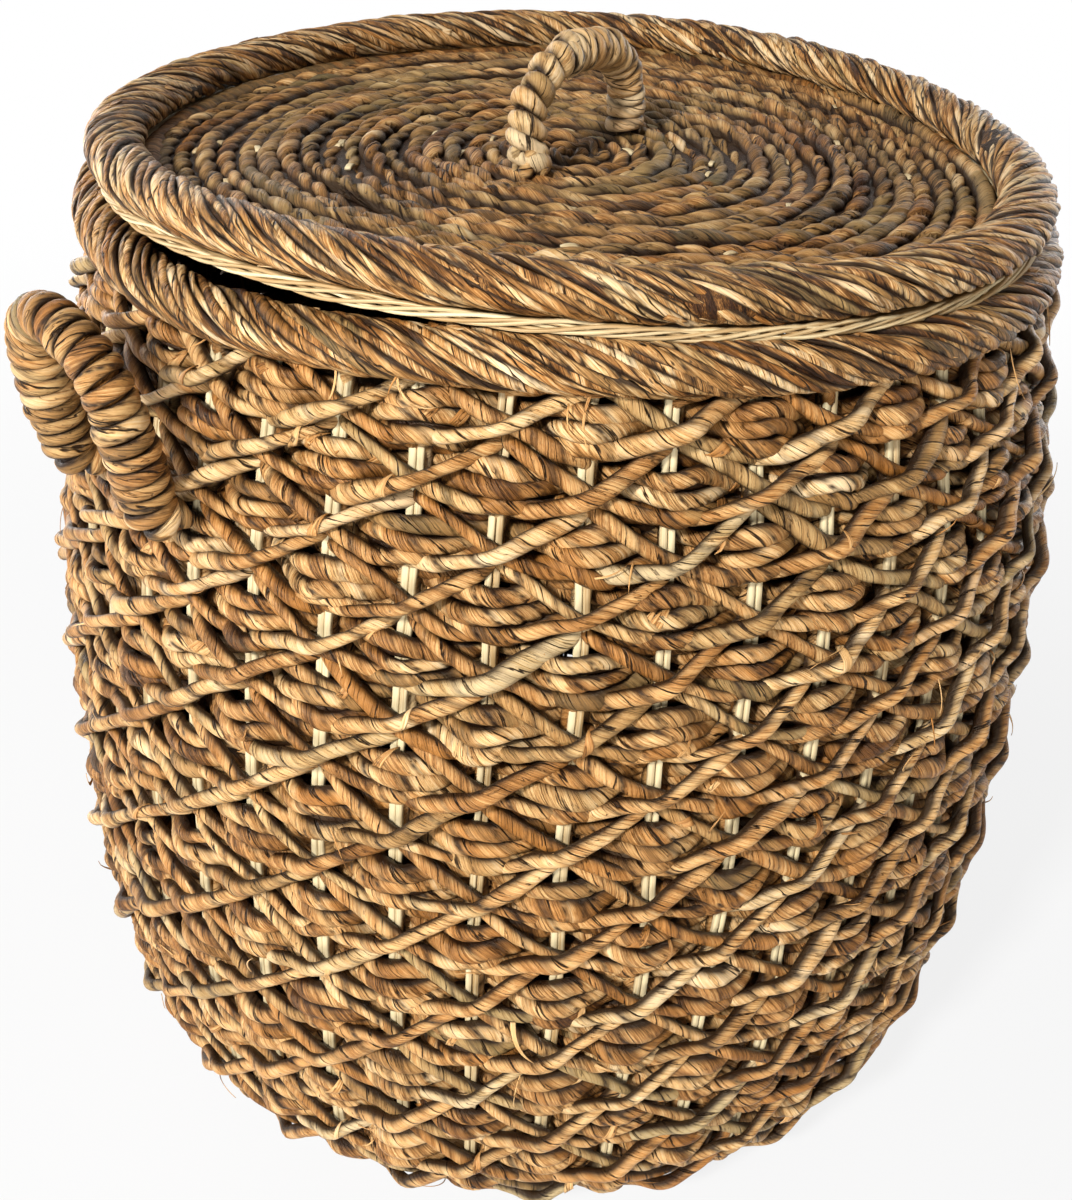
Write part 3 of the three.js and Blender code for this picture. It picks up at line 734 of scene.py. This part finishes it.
def border_tubes(box, seed, tone, sizes):
    """A thick border: uneven strands laid on a long slant round a hidden core."""
    rng = np.random.default_rng(seed)
    low, high = box
    half_width, half_height = 0.012, (high.z - low.z) / 2
    centre, height = high.x - half_width, (low.z + high.z) / 2
    tight_lay, loose_lay, size_range = 0.014, 0.05, (0.78, 1.35)
    waviness, unevenness, swelling = 0.07, 0.05, 0.12
    around = full_turn(1600)
    count = len(around)
    tubes = []
    for strand in range(sizes.border_strands):
        radius = sizes.border_strand / 2 * rng.uniform(*size_range)
        a, b = half_width - radius, half_height - radius
        start = 2 * math.pi * strand / sizes.border_strands
        slope = start - sizes.border_turns * around + waviness * wander(count, 30, rng)
        grow = 1 + unevenness * wander(count, 40, rng)
        path = ring(around, centre + a * grow * np.cos(slope), height + b * grow * np.sin(slope))
        outward = unit(ring(around, np.cos(slope) / a, np.sin(slope) / b))
        plump = 1 + swelling * wander(count, 60, rng)
        lay = tight_lay if strand % 4 == 0 else loose_lay
        # The strong flank paints heavy shade on the strand sides, which draws dark lines between
        # the strands.
        tubes.append(rope(path, outward, radius, rng, closed=True, lay=lay, sides=12, step=0.002,
                          uneven=0.06, tone=tone, spread=0.2, leaf=0.06, swell=plump, warm=0.1,
                          grey=0.05, flank=2.15))
        tubes += leaf_laps(path, outward, radius * 0.95, 3, rng, lay=loose_lay, tone=0.5,
                           curl=0.0006)
    # The hidden core fills the way round which the strands are laid. It is toned nearly black:
    # painted shade where it shows between the strands.
    tubes.append(rope(ring(around, centre, height), ring(around, 1, 0), b, rng, closed=True,
                      flat=a / b, step=0.004, tone=0.08, spread=0.05))
    return tubes


# The radius at which the coil of the lid's mat starts.
mat_start = 0.0035


def mat_tubes(sizes):
    """The lid's mat: one thick twisted rope coiled from the middle outwards."""
    rng = np.random.default_rng(41)
    low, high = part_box("lid_mat")
    middle = (low.z + high.z) / 2
    loops, count, coil_size, filling_size = 20.45, 9000, 0.58, 0.53
    uneven_out, uneven_loops, uneven_rounds, swelling = 0.0006, 0.0007, 0.0009, 0.09
    turn = np.linspace(0, 2 * math.pi * loops, count)
    r = mat_start + sizes.mat_pitch * turn / (2 * math.pi) + uneven_out * wander(count, 190, rng)
    ridges = uneven_loops * wander(count, 240, rng) + uneven_rounds * wander(count, 70, rng)
    path = ring(turn, r, middle + ridges)
    plump = 1 + swelling * wander(count, 260, rng)
    coil = rope(path, upward(path), sizes.mat_pitch * coil_size, rng, lay=0.03, depth=0.95,
                plump=1.0, uneven=0.04, tone=0.5, spread=0.07, leaf=0.05, ends=0.004, lobes=0.1,
                swell=plump, warm=-0.1, grey=0.3, flank=1.6, sharp=1.4)
    # A flat rope fills the furrows and makes the underside, and one ring joins the mat to the
    # border. The flat rope faces down, so from above it shows full painted side shade.
    filling_drop, edge_drop, border_width, edge_radius = 0.0021, 0.0002, 0.0246, 0.0052
    under = ring(turn, r + sizes.mat_pitch / 2, middle - filling_drop)
    filling = rope(under, -upward(under), sizes.mat_pitch * filling_size, rng, flat=0.54,
                   depth=0.16, sides=10, step=0.003, tone=0.45, spread=0.1, flank=0.9)
    edge = ring(full_turn(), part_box("lid_border")[1].x - border_width, middle - edge_drop)
    joint = rope(edge, upward(edge), edge_radius, rng, closed=True, tone=0.35, spread=0.1)
    return [coil, filling, joint]


def mat_chip_tubes(sizes):
    """Short ends of pale reed that show between the loops of the mat."""
    rng = np.random.default_rng(43)
    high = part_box("lid_mat")[1]
    number, first_loop, last_loop, sunk, thick, sag = 70, 2, 20, 0.0026, 0.0012, 0.003
    length_range, width_range, unevenness, slant = (0.004, 0.009), (0.0018, 0.003), 0.0006, 0.25
    tubes = []
    for _ in range(number):
        loop = rng.integers(first_loop, last_loop)
        turn = rng.uniform(0, 2 * math.pi)
        # Half a loop further out lies the furrow between two loops.
        loops = loop + 0.5 + turn / (2 * math.pi)
        r = mat_start + sizes.mat_pitch * loops + rng.normal(0, unevenness)
        t = np.linspace(-0.5, 0.5, 5)
        length = rng.uniform(*length_range)
        skew = rng.normal(0, slant)
        path = ring(turn + t * length / r, r + skew * t * length, high.z - sunk - sag * t**2)
        leaf = (rng.uniform(0.35, 0.8), 0, 0)
        tubes.append(strip(path, upward(path), rng.uniform(*width_range), thick, rng,
                           step=0.0015, leaf=leaf))
    return tubes


def band_tubes():
    """The pale hoop under the lid border: twined thin reeds with flat ones inside them."""
    rng = np.random.default_rng(51)
    low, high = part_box("lid_reed_band")
    outer, middle = high.x, (low.z + high.z) / 2
    around = full_turn()
    count = len(around)
    twined, twists, flat_ones, waves, unevenness = 5, 18, 3, 16, 0.0003
    rising, bulge, inset, thin, thick = 0.0019, 0.0007, 0.0016, 0.0012, 0.0018
    flat_inset, flat_step, flat_width, flat_thick = 0.0048, 0.0042, 0.0038, 0.0022
    tubes = []
    for strand in range(twined):
        lay = 2 * math.pi * strand / twined + twists * around
        rise = rising * np.sin(lay) + unevenness * wander(count, waves, rng)
        r = outer - inset + bulge * np.cos(lay) + unevenness * wander(count, waves, rng)
        path = ring(around, r, middle + rise)
        leaf = (rng.uniform(0.2, 0.7), 0, 0)
        tubes.append(strip(path, ring(around, 1, 0), thin, thick, rng, step=0.003, closed=True,
                           leaf=leaf))
    for i in range(flat_ones):
        path = ring(around, outer - flat_inset - flat_step * i, middle)
        tubes.append(strip(path, upward(path), flat_width, flat_thick, rng, closed=True))
    return tubes


def arch(half, count=400):
    """A smooth arch through the points of one half and their mirror image."""
    whole = np.vstack([half, half[-2::-1] * (-1, 1, 1)])
    # Each stretch counts by the root of its length, which keeps the curve from swinging out.
    t = np.append(0, np.cumsum(np.linalg.norm(np.diff(whole, axis=0), axis=1) ** 0.5))
    at = np.linspace(0, t[-1], count)
    return np.stack([smooth_curve(t, whole[:, i], at) for i in range(3)], -1)


def arch_frames(path):
    """Directions along and across a curve that turn with it and don't spin."""
    tangent = unit(np.gradient(path, axis=0))
    normal = np.zeros_like(path)
    normal[0] = unit(np.cross(tangent[0], (1.0, 0.0, 0.0)))
    for i in range(1, len(path)):
        n = normal[i - 1] - np.dot(normal[i - 1], tangent[i]) * tangent[i]
        normal[i] = n / np.linalg.norm(n)
    return tangent, normal, np.cross(tangent, normal)


def turned(points, angle):
    """Points turned about the upright axis."""
    c, s = math.cos(angle), math.sin(angle)
    return points @ np.array([(c, s, 0), (-s, c, 0), (0, 0, 1)])


def wound_tubes(path, core, wrap, pitch, rng, start=0.0, end=1.0, tone=0.55, warm=0.1,
                grey=-0.25):
    """A flattened rope wound closely round an arched core."""
    per_turn, unevenness = 40, 0.0003
    _, normal, side = arch_frames(path)
    s = run_length(path)
    count = int((end - start) * s[-1] / pitch * per_turn)
    at = np.linspace(start * s[-1], end * s[-1], count)
    centre, n1, n2 = (read_at(at, s, values) for values in (path, normal, side))
    radius = np.interp(at / s[-1], np.linspace(0, 1, len(core)), core)
    outward = unit(spoke(2 * math.pi * at / pitch, n1, n2))
    uneven = radius + unevenness * wander(count, 60, rng)
    helix = centre + uneven[:, None] * outward
    return [rope(helix, outward, wrap, rng, lay=0.04, depth=0.17, uneven=0.06, tone=tone,
                 spread=0.13, leaf=0.05, step=0.0016, ends=0.004, flat=0.62, warm=warm,
                 grey=grey, flank=1.3)]


def side_handle_tubes(side, seed, sizes):
    """A stiff arch bound with rope from foot to foot."""
    rng = np.random.default_rng(seed)
    foot_z, half_span, seat, reach, rise = 0.3805, 0.031, 0.2227, 0.0215, 0.0735
    # One half of the arch, as shares of its half span, its reach from the wall and its rise.
    shares = np.array([
        (1, 0, 0), (1, 0.2, 0.004), (1, 0.41, 0.06), (1, 0.51, 0.19), (1, 0.64, 0.4),
        (0.985, 0.76, 0.59), (0.86, 0.87, 0.79), (0.5, 0.96, 0.945), (0, 1, 1),
    ])
    half = np.stack([-shares[:, 0] * half_span, -seat - shares[:, 1] * reach,
                     foot_z + shares[:, 2] * rise], -1)
    path = turned(arch(half), side * math.pi / 2)
    core = (0.0078, 0.0090, 0.0090, 0.0082, 0.0074, 0.0073, 0.0074, 0.0080, 0.0088, 0.0090, 0.0078)
    squeeze, core_radius = 0.93, 0.0066
    tubes = wound_tubes(path, core, sizes.handle_wrap / 2, sizes.handle_wrap * squeeze, rng,
                        tone=0.43, warm=-0.05, grey=0.22)
    normal = arch_frames(path)[1]
    # The core is toned nearly black: painted shade where it shows between the turns.
    tubes.append(rope(path, normal, core_radius, rng, tone=0.05, spread=0.05, step=0.004))
    return tubes


def lid_handle_path():
    """The middle line of the lid's handle, from its left foot to its right."""
    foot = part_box("lid_mat")[1].z - 0.002
    half_span, rise, twist, forward = 0.04, 0.0425, math.radians(11), 0.01
    shares = np.array([(1, 0), (1, 0.12), (1.02, 0.3), (0.9, 0.66), (0.56, 0.92), (0, 1)])
    half = np.stack([-shares[:, 0] * half_span, 0 * shares[:, 0], foot + shares[:, 1] * rise], -1)
    path = turned(arch(half), twist)
    # The left limb is pulled a little towards the front, the most at its foot.
    pull = forward * np.clip(1 - np.linspace(0, 1, len(path)) / 0.5, 0, 1) ** 1.3
    return path + np.stack([0 * pull, -pull, 0 * pull], -1)


def lid_knot_tubes():
    """The left limb: fat slanting loops tied one over the next, with strands at its foot."""
    rng = np.random.default_rng(81)
    first, last, knots, foot_strands, foot_points = 0.09, 0.45, 8, 5, 60
    knot_radius, knot_bulge, knot_rope, size_range = 0.0047, 0.0007, 0.0040, (0.9, 1.1)
    foot_reach, foot_end, foot_rope, core_radius = 0.0062, 0.0042, 0.0031, 0.0042
    path = lid_handle_path()
    tangent, normal, side = arch_frames(path)
    t = full_turn(60)
    tubes = []
    for share in np.linspace(first, last, knots):
        at = int(share * (len(path) - 1))
        lean = 0.55 + rng.normal(0, 0.14)
        out = spoke(t, normal[at], side[at])
        size, start = rng.uniform(*size_range), rng.uniform(0, 6)
        radius = knot_radius * size + knot_bulge * np.cos(2 * t + start)
        loop = path[at] + radius[:, None] * out
        loop = loop + (lean * radius * np.sin(t + 0.6))[:, None] * tangent[at]
        plump = 1 + 0.15 * np.cos(t + rng.uniform(0, 6))
        tubes.append(rope(loop, out, knot_rope * rng.uniform(*size_range), rng, closed=True,
                          lay=0.01, depth=0.12, tone=0.74, spread=0.1, leaf=0.02, step=0.0014,
                          swell=plump, grey=0.15, warm=0.0, sharp=0.4))
    foot = path[:foot_points]
    for strand in range(foot_strands):
        lean = 2 * math.pi * strand / foot_strands + 0.5 + np.linspace(0, 1.2, foot_points)
        away = spoke(lean, normal[:foot_points], side[:foot_points])
        spread = np.linspace(foot_reach, foot_end, foot_points)
        tubes.append(rope(foot + spread[:, None] * away, away, foot_rope, rng, lay=0.012,
                          tone=0.7, spread=0.12, leaf=0.03, step=0.0014, ends=0.004,
                          grey=0.15, sharp=0.5))
    # The core is toned dark: painted shade where it shows between the knots and turns.
    tubes.append(rope(path, normal, core_radius, rng, tone=0.15, spread=0.05, step=0.004))
    return tubes


def foot_tubes():
    """The rope round the foot, over the stakes' lower ends."""
    rng = np.random.default_rng(61)
    strands, twists, radius, foot_r, foot_z = 2, 36, 0.0031, 0.1785, 0.0056
    reach, rise = 0.0022, 0.0016
    around = full_turn()
    tubes = []
    for strand in range(strands):
        lay = 2 * math.pi * strand / strands + twists * around
        path = ring(around, foot_r + reach * np.cos(lay), foot_z + rise * np.sin(lay))
        tubes.append(rope(path, ring(around, 1, 0), radius, rng, closed=True, tone=0.45))
    return tubes


def base_tubes():
    """The base: leaf rope coiled flat."""
    rng = np.random.default_rng(71)
    loops, start, reach, count, height, radius = 22, 0.003, 0.1703, 9000, 0.0058, 0.0049
    turn = np.linspace(0, 2 * math.pi * loops, count)
    path = ring(turn, start + (reach - start) * turn / turn[-1], height)
    return [rope(path, upward(path), radius, rng, lay=0.022, depth=0.12, step=0.003, tone=0.45,
                 leaf=0.08)]


def loose_end_tubes():
    """Loose fibres and torn leaf ends that stand off the wall and hang below the rim."""
    rng = np.random.default_rng(91)
    number, hanging_ones, points, wall_radius = 170, 34, 9, 0.21
    # Places down the wall, lengths, slants, rises and standing off, below the rim and elsewhere.
    below_rim = ((-0.006, 0.004), (0.01, 0.03), (-0.6, 0.6), (0.002, 0.006), 0.008)
    elsewhere = ((0.02, 0.44), (0.006, 0.022), (0, 2 * math.pi), (0.001, 0.006), 0.0075)
    thin_range, wide_range, thin_share, thick, curling = (
        (0.0005, 0.001), (0.0012, 0.0024), 0.75, 0.0003, 1.1)
    tubes = []
    for i in range(number):
        hanging = i < hanging_ones
        drops, lengths, slants, rises, off = below_rim if hanging else elsewhere
        turn = rng.uniform(0, 2 * math.pi)
        drop = rng.uniform(*drops)
        length = rng.uniform(*lengths)
        t = np.linspace(0, 1, points)
        heading = rng.uniform(*slants) + rng.normal(0, curling) * t
        down, along = (
            np.append(0, np.cumsum(part(heading[:-1]))) * length / (points - 1)
            for part in (np.cos, np.sin)
        )
        out = off + rng.uniform(*rises) * np.sin(1.7 * t)
        angle, place = turn + along / wall_radius, drop + down
        path = on_wall(angle, place, out)
        thin = hanging or rng.random() < thin_share
        width = rng.uniform(*(thin_range if thin else wide_range))
        leaf = (rng.uniform(0.25, 0.6), rng.random() ** 3, 0)
        tubes.append(strip(path, off_wall(angle, place), width, thick, rng, step=0.002,
                           leaf=leaf, taper=0.9))
    return tubes


def length_property(name, description, default, least, most):
    """A length that the sidebar shows in the scene's units."""
    return bpy.props.FloatProperty(
        name=name, description=description, default=default, min=least, max=most,
        unit="LENGTH", subtype="DISTANCE")


def colour_property(name, description, code):
    """A colour, given in sRGB hex."""
    return bpy.props.FloatVectorProperty(
        name=name, description=description, default=linear(code), min=0, max=1, subtype="COLOR")


class BASKET_PG_sizes(bpy.types.PropertyGroup):
    """Thicknesses and spacings of the weave."""

    row_rope: length_property(
        "Row rope", "Thickness of a wall rope in the top row", 0.0068, 0.003, 0.012)
    rising_strand: length_property(
        "Rising strand", "Thickness of a strand that climbs to the right", 0.0066, 0.002, 0.01)
    falling_strand: length_property(
        "Falling strand", "Thickness of a strand that climbs to the left", 0.0059, 0.002, 0.01)
    stake_split: length_property(
        "Stake split", "Width of one of the two splits of a stake", 0.0026, 0.001, 0.006)
    border_strand: length_property(
        "Border strand", "Thickness of a strand of the rim and the lid border",
        0.0038, 0.002, 0.012)
    border_strands: bpy.props.IntProperty(
        name="Border strands", description="Number of strands in the rim and in the lid border",
        default=17, min=3, max=30)
    border_turns: bpy.props.IntProperty(
        name="Border turns", description="How often a border strand goes round the border",
        default=11, min=4, max=40)
    mat_pitch: length_property(
        "Mat pitch", "Distance from one loop of the lid's mat to the next",
        0.00868, 0.004, 0.015)
    handle_wrap: length_property(
        "Handle wrap", "Thickness of the rope wound round a side handle", 0.0068, 0.003, 0.012)
    lens: bpy.props.FloatProperty(
        name="Lens", description="Focal length of the camera in millimetres",
        default=42.7, min=10, max=300, subtype="DISTANCE_CAMERA")


class BASKET_PG_colours(bpy.types.PropertyGroup):
    """Colours of the leaf, the reed and the floor."""

    leaf_deep: colour_property("Leaf, deepest", "The leaf where it is almost black", "#2a1005")
    leaf_dark: colour_property("Leaf, dark", "The leaf where it has browned", "#643e19")
    leaf_middle: colour_property("Leaf, middle", "The leaf's usual colour", "#a06f3c")
    leaf_light: colour_property("Leaf, light", "The leaf where it has dried pale", "#cba26b")
    leaf_pale: colour_property("Leaf, palest", "The leaf's palest streaks", "#dec196")
    leaf_warm: colour_property("Warm leaf", "The tint of a redder leaf", "#b0702c")
    leaf_grey: colour_property("Grey leaf", "The tint of a weathered leaf", "#85744b")
    reed_pale: colour_property("Reed, pale", "The reed's usual colour", "#cdbb92")
    reed_deep: colour_property("Reed, stained", "The reed where it is stained", "#9c7c4e")
    floor: colour_property("Floor", "The paper that the basket stands on", "#bebebe")


class BASKET_OT_stakes(bpy.types.Operator):
    """Stand the pairs of split rattan that carry the wall"""

    bl_idname = "basket.stakes"
    bl_label = "Stand the stakes"

    def execute(self, context):
        piece("wall_stakes", stake_tubes(context.scene.basket_sizes), "split_rattan", "basket",
              ["stake_frame"])
        return {"FINISHED"}


class BASKET_OT_rows(bpy.types.Operator):
    """Weave the rows of three ropes before and behind the stakes"""

    bl_idname = "basket.rows"
    bl_label = "Weave the rows"

    def execute(self, context):
        for row in range(row_count):
            name = f"wall_row_{row + 1:02d}"
            piece(f"{name}_ropes", row_ropes(row, context.scene.basket_sizes),
                  "twisted_banana_leaf_wall", "basket", [name])
        return {"FINISHED"}


class BASKET_OT_lines(bpy.types.Operator):
    """Twine the slanting lines that cross over the rows"""

    bl_idname = "basket.lines"
    bl_label = "Twine the lines"

    def execute(self, context):
        sizes = context.scene.basket_sizes
        for slant, outs, name, thick in (
            (1, rising_out, "rising_line", sizes.rising_strand),
            (-1, falling_out, "falling_line", sizes.falling_strand),
        ):
            for line in range(line_count):
                piece(f"{name}_{line + 1:02d}", line_tubes(line, outs, slant, thick),
                      "twisted_banana_leaf_lines", "basket")
        return {"FINISHED"}


class BASKET_OT_rim(bpy.types.Operator):
    """Lay the thick border over the stake tops"""

    bl_idname = "basket.rim"
    bl_label = "Lay the rim"

    def execute(self, context):
        seed, tone = 21, 0.38
        tubes = border_tubes(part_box("rim_border"), seed, tone, context.scene.basket_sizes)
        piece("rim_rope", tubes, "twisted_banana_leaf_border", "basket",
              ["rim_border"])
        return {"FINISHED"}


class BASKET_OT_base(bpy.types.Operator):
    """Coil the base and run a rope round the foot"""

    bl_idname = "basket.base"
    bl_label = "Coil the base"

    def execute(self, context):
        piece("foot_rope", foot_tubes(), "twisted_banana_leaf_wall", "basket")
        piece("base_coil", base_tubes(), "twisted_banana_leaf_mat", "basket",
              ["base_mat"])
        return {"FINISHED"}


class BASKET_OT_side_handles(bpy.types.Operator):
    """Wind a stiff arch at each side"""

    bl_idname = "basket.side_handles"
    bl_label = "Wind the side handles"

    def execute(self, context):
        for name, side, seed in (("left", -1, 31), ("right", 1, 32)):
            tubes = side_handle_tubes(side, seed, context.scene.basket_sizes)
            piece(f"{name}_handle_rope", tubes, "twisted_banana_leaf_handle", "basket",
                  [f"{name}_handle_core", f"{name}_handle_winding"])
        return {"FINISHED"}


class BASKET_OT_loose_ends(bpy.types.Operator):
    """Leave the loose fibres and torn leaf ends on the wall"""

    bl_idname = "basket.loose_ends"
    bl_label = "Leave the loose ends"

    def execute(self, context):
        piece("loose_leaf_ends", loose_end_tubes(), "dry_leaf_fibre", "basket")
        return {"FINISHED"}


class BASKET_OT_lid_border(bpy.types.Operator):
    """Make the lid's reed band and the border over it"""

    bl_idname = "basket.lid_border"
    bl_label = "Make the lid border"

    def execute(self, context):
        piece("lid_band_reeds", band_tubes(), "split_reed_band", "lid",
              ["lid_reed_band"])
        seed, tone = 22, 0.5
        tubes = border_tubes(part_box("lid_border"), seed, tone, context.scene.basket_sizes)
        piece("lid_border_strands", tubes, "twisted_banana_leaf_border", "lid",
              ["lid_border"])
        return {"FINISHED"}


class BASKET_OT_lid_mat(bpy.types.Operator):
    """Coil the lid's mat, with the reed ends that show in it"""

    bl_idname = "basket.lid_mat"
    bl_label = "Coil the lid mat"

    def execute(self, context):
        sizes = context.scene.basket_sizes
        piece("lid_mat_coil", mat_tubes(sizes), "twisted_banana_leaf_mat", "lid",
              ["lid_mat"])
        piece("lid_mat_reed_ends", mat_chip_tubes(sizes), "split_reed_band", "lid")
        return {"FINISHED"}


class BASKET_OT_lid_handle(bpy.types.Operator):
    """Tie the lid's handle: knots on its left limb, close turns on its right"""

    bl_idname = "basket.lid_handle"
    bl_label = "Tie the lid handle"

    def execute(self, context):
        leaf = "twisted_banana_leaf_handle"
        piece("lid_handle_knots", lid_knot_tubes(), leaf, "lid",
              ["lid_handle_rope"])
        rng = np.random.default_rng(82)
        core, wrap, pitch = (0.0074, 0.0074, 0.0070, 0.0068, 0.0068), 0.0031, 0.0057
        turns = wound_tubes(lid_handle_path(), core, wrap, pitch, rng, start=0.42, end=0.99,
                            tone=0.7, warm=0.0, grey=0.1)
        piece("lid_handle_turns", turns, leaf, "lid", ["lid_handle_winding"])
        return {"FINISHED"}


white = {"Color": (1, 1, 1, 1), "Strength": 1.0}


def seen_share(tree):
    """1 for camera, glossy and transmission rays, and 0 for the rays that light the basket."""
    rays = add(tree, "ShaderNodeLightPath")
    seen = rays["Is Camera Ray"]
    for kind in ("Is Glossy Ray", "Is Transmission Ray"):
        seen = add(tree, MATH, {0: seen, 1: rays[kind]}, operation="MAXIMUM")[0]
    return seen


def set_camera(scene):
    """The camera of the photograph: above the basket, in front of it and to its left."""
    place = Vector((-0.4364, -0.4478, 0.64845))
    target = Vector((-0.00328, 0.00319, 0.227785))
    roll = math.radians(3.278)
    forward = (target - place).normalized()
    right = forward.cross(Vector((0, 0, 1))).normalized()
    up = right.cross(forward)
    level = math.cos(roll) * right + math.sin(roll) * up
    above = -math.sin(roll) * right + math.cos(roll) * up
    camera = bpy.data.objects.new("camera", bpy.data.cameras.new("camera"))
    scene.collection.objects.link(camera)
    turn = Matrix((level, above, -forward)).transposed()
    camera.matrix_world = Matrix.Translation(place) @ turn.to_4x4()
    camera.data.sensor_width = 36
    camera.data.lens = scene.basket_sizes.lens
    camera.data.clip_start = 0.01
    scene.camera = camera


def floor_material(colour):
    """White paper. The eye gets a plain white ground that keeps the basket's shadow."""
    material = bpy.data.materials.new("white_paper_floor")
    tree = empty_tree(material)
    # The shadow lies near the basket, and further off the paper runs into the backdrop.
    near, far, near_share, far_share = 0.25, 1.4, 0.84, 1.0
    position = add(tree, "ShaderNodeNewGeometry")["Position"]
    away = add(tree, VECTOR, {0: position}, operation="LENGTH")["Value"]
    sockets = {"Value": away, "From Min": near, "From Max": far,
               "To Min": near_share, "To Max": far_share}
    share = add(tree, RANGE, sockets, interpolation_type="SMOOTHSTEP")["Result"]
    share = add(tree, MATH, {0: seen_share(tree), 1: share}, operation="MULTIPLY")[0]
    paper = add(tree, "ShaderNodeBsdfDiffuse", {"Color": (*colour, 1)})[0]
    glow = add(tree, "ShaderNodeEmission", white)[0]
    both = add(tree, "ShaderNodeMixShader", {0: share, 1: paper, 2: glow})[0]
    add(tree, "ShaderNodeOutputMaterial", {"Surface": both})
    return material


def lay_floor(scene):
    """A wide flat floor under the basket."""
    reach = 20
    corners = [(-reach, -reach, 0), (reach, -reach, 0), (reach, reach, 0), (-reach, reach, 0)]
    mesh = bpy.data.meshes.new("floor")
    mesh.from_pydata(corners, [], [(0, 1, 2, 3)])
    mesh.materials.append(floor_material(scene.basket_colours.floor))
    floor = bpy.data.objects.new("floor", mesh)
    scene.collection.objects.link(floor)
    floor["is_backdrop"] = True


def set_backdrop(scene):
    """A white backdrop that adds only a little light of its own."""
    own_light = 0.11
    world = bpy.data.worlds.new("studio")
    tree = empty_tree(world)
    soft = {"Color": (1, 1, 1, 1), "Strength": own_light}
    plain = add(tree, "ShaderNodeBackground", soft)[0]
    backdrop = add(tree, "ShaderNodeBackground", white)[0]
    sockets = {0: seen_share(tree), 1: plain, 2: backdrop}
    both = add(tree, "ShaderNodeMixShader", sockets)[0]
    add(tree, "ShaderNodeOutputWorld", {"Surface": both})
    scene.world = world


def hang_lamps(scene):
    """A small key lamp high at the left, and large soft ones low all round."""
    aim = Vector((0, 0, 0.25))
    for name, spot, size, power in (
        ("key", (-1.75, -0.55, 1.6), 0.25, 75),
        ("fill", (-1.15, -1.7, 0.45), 0.8, 23),
        ("left", (-1.6, 1.0, 0.3), 1.0, 26),
        ("right", (1.9, 0.3, 0.35), 1.2, 18),
        ("back", (0.1, 1.9, 0.35), 1.2, 24),
    ):
        lamp = bpy.data.lights.new(name, "AREA")
        lamp.size = size
        lamp.energy = power
        lamp_object = bpy.data.objects.new(name, lamp)
        lamp_object.location = spot
        facing = aim - Vector(spot)
        lamp_object.rotation_euler = facing.to_track_quat("-Z", "Y").to_euler()
        scene.collection.objects.link(lamp_object)


class BASKET_OT_stage(bpy.types.Operator):
    """Set the floor, the lamps and the camera"""

    bl_idname = "basket.stage"
    bl_label = "Set the stage"

    def execute(self, context):
        scene = context.scene
        scene.view_settings.view_transform = "Standard"
        set_camera(scene)
        lay_floor(scene)
        set_backdrop(scene)
        hang_lamps(scene)
        return {"FINISHED"}


steps = ("stage", "stakes", "rows", "lines", "rim", "base", "side_handles", "loose_ends",
         "lid_border", "lid_mat", "lid_handle")


class BASKET_PT_panel(bpy.types.Panel):
    """Lists the basket's steps, sizes and colours"""

    bl_idname = "BASKET_PT_panel"
    bl_label = "Basket"
    bl_space_type = "VIEW_3D"
    bl_region_type = "UI"
    bl_category = "Basket"

    def draw(self, context):
        for step in steps:
            self.layout.operator(f"basket.{step}")
        for group in (context.scene.basket_sizes, context.scene.basket_colours):
            for name in group.bl_rna.properties.keys():
                if name not in ("rna_type", "name"):
                    self.layout.prop(group, name)


classes = (
    BASKET_PG_sizes, BASKET_PG_colours, BASKET_OT_stage, BASKET_OT_stakes, BASKET_OT_rows,
    BASKET_OT_lines, BASKET_OT_rim, BASKET_OT_base, BASKET_OT_side_handles,
    BASKET_OT_loose_ends, BASKET_OT_lid_border, BASKET_OT_lid_mat, BASKET_OT_lid_handle,
    BASKET_PT_panel,
)


def register():
    for cls in classes:
        bpy.utils.register_class(cls)
    bpy.types.Scene.basket_sizes = bpy.props.PointerProperty(type=BASKET_PG_sizes)
    bpy.types.Scene.basket_colours = bpy.props.PointerProperty(type=BASKET_PG_colours)


def unregister():
    del bpy.types.Scene.basket_sizes
    del bpy.types.Scene.basket_colours
    for cls in reversed(classes):
        bpy.utils.unregister_class(cls)


def main():
    """Makes the whole basket on its stage."""
    register()
    for step in steps:
        getattr(bpy.ops.basket, step)()
    boxes = {"cad": cad_box, "visual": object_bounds()}
    boxes = {key: [list(corner) for corner in box] for key, box in boxes.items()}


if __name__ == "__main__":
    main()
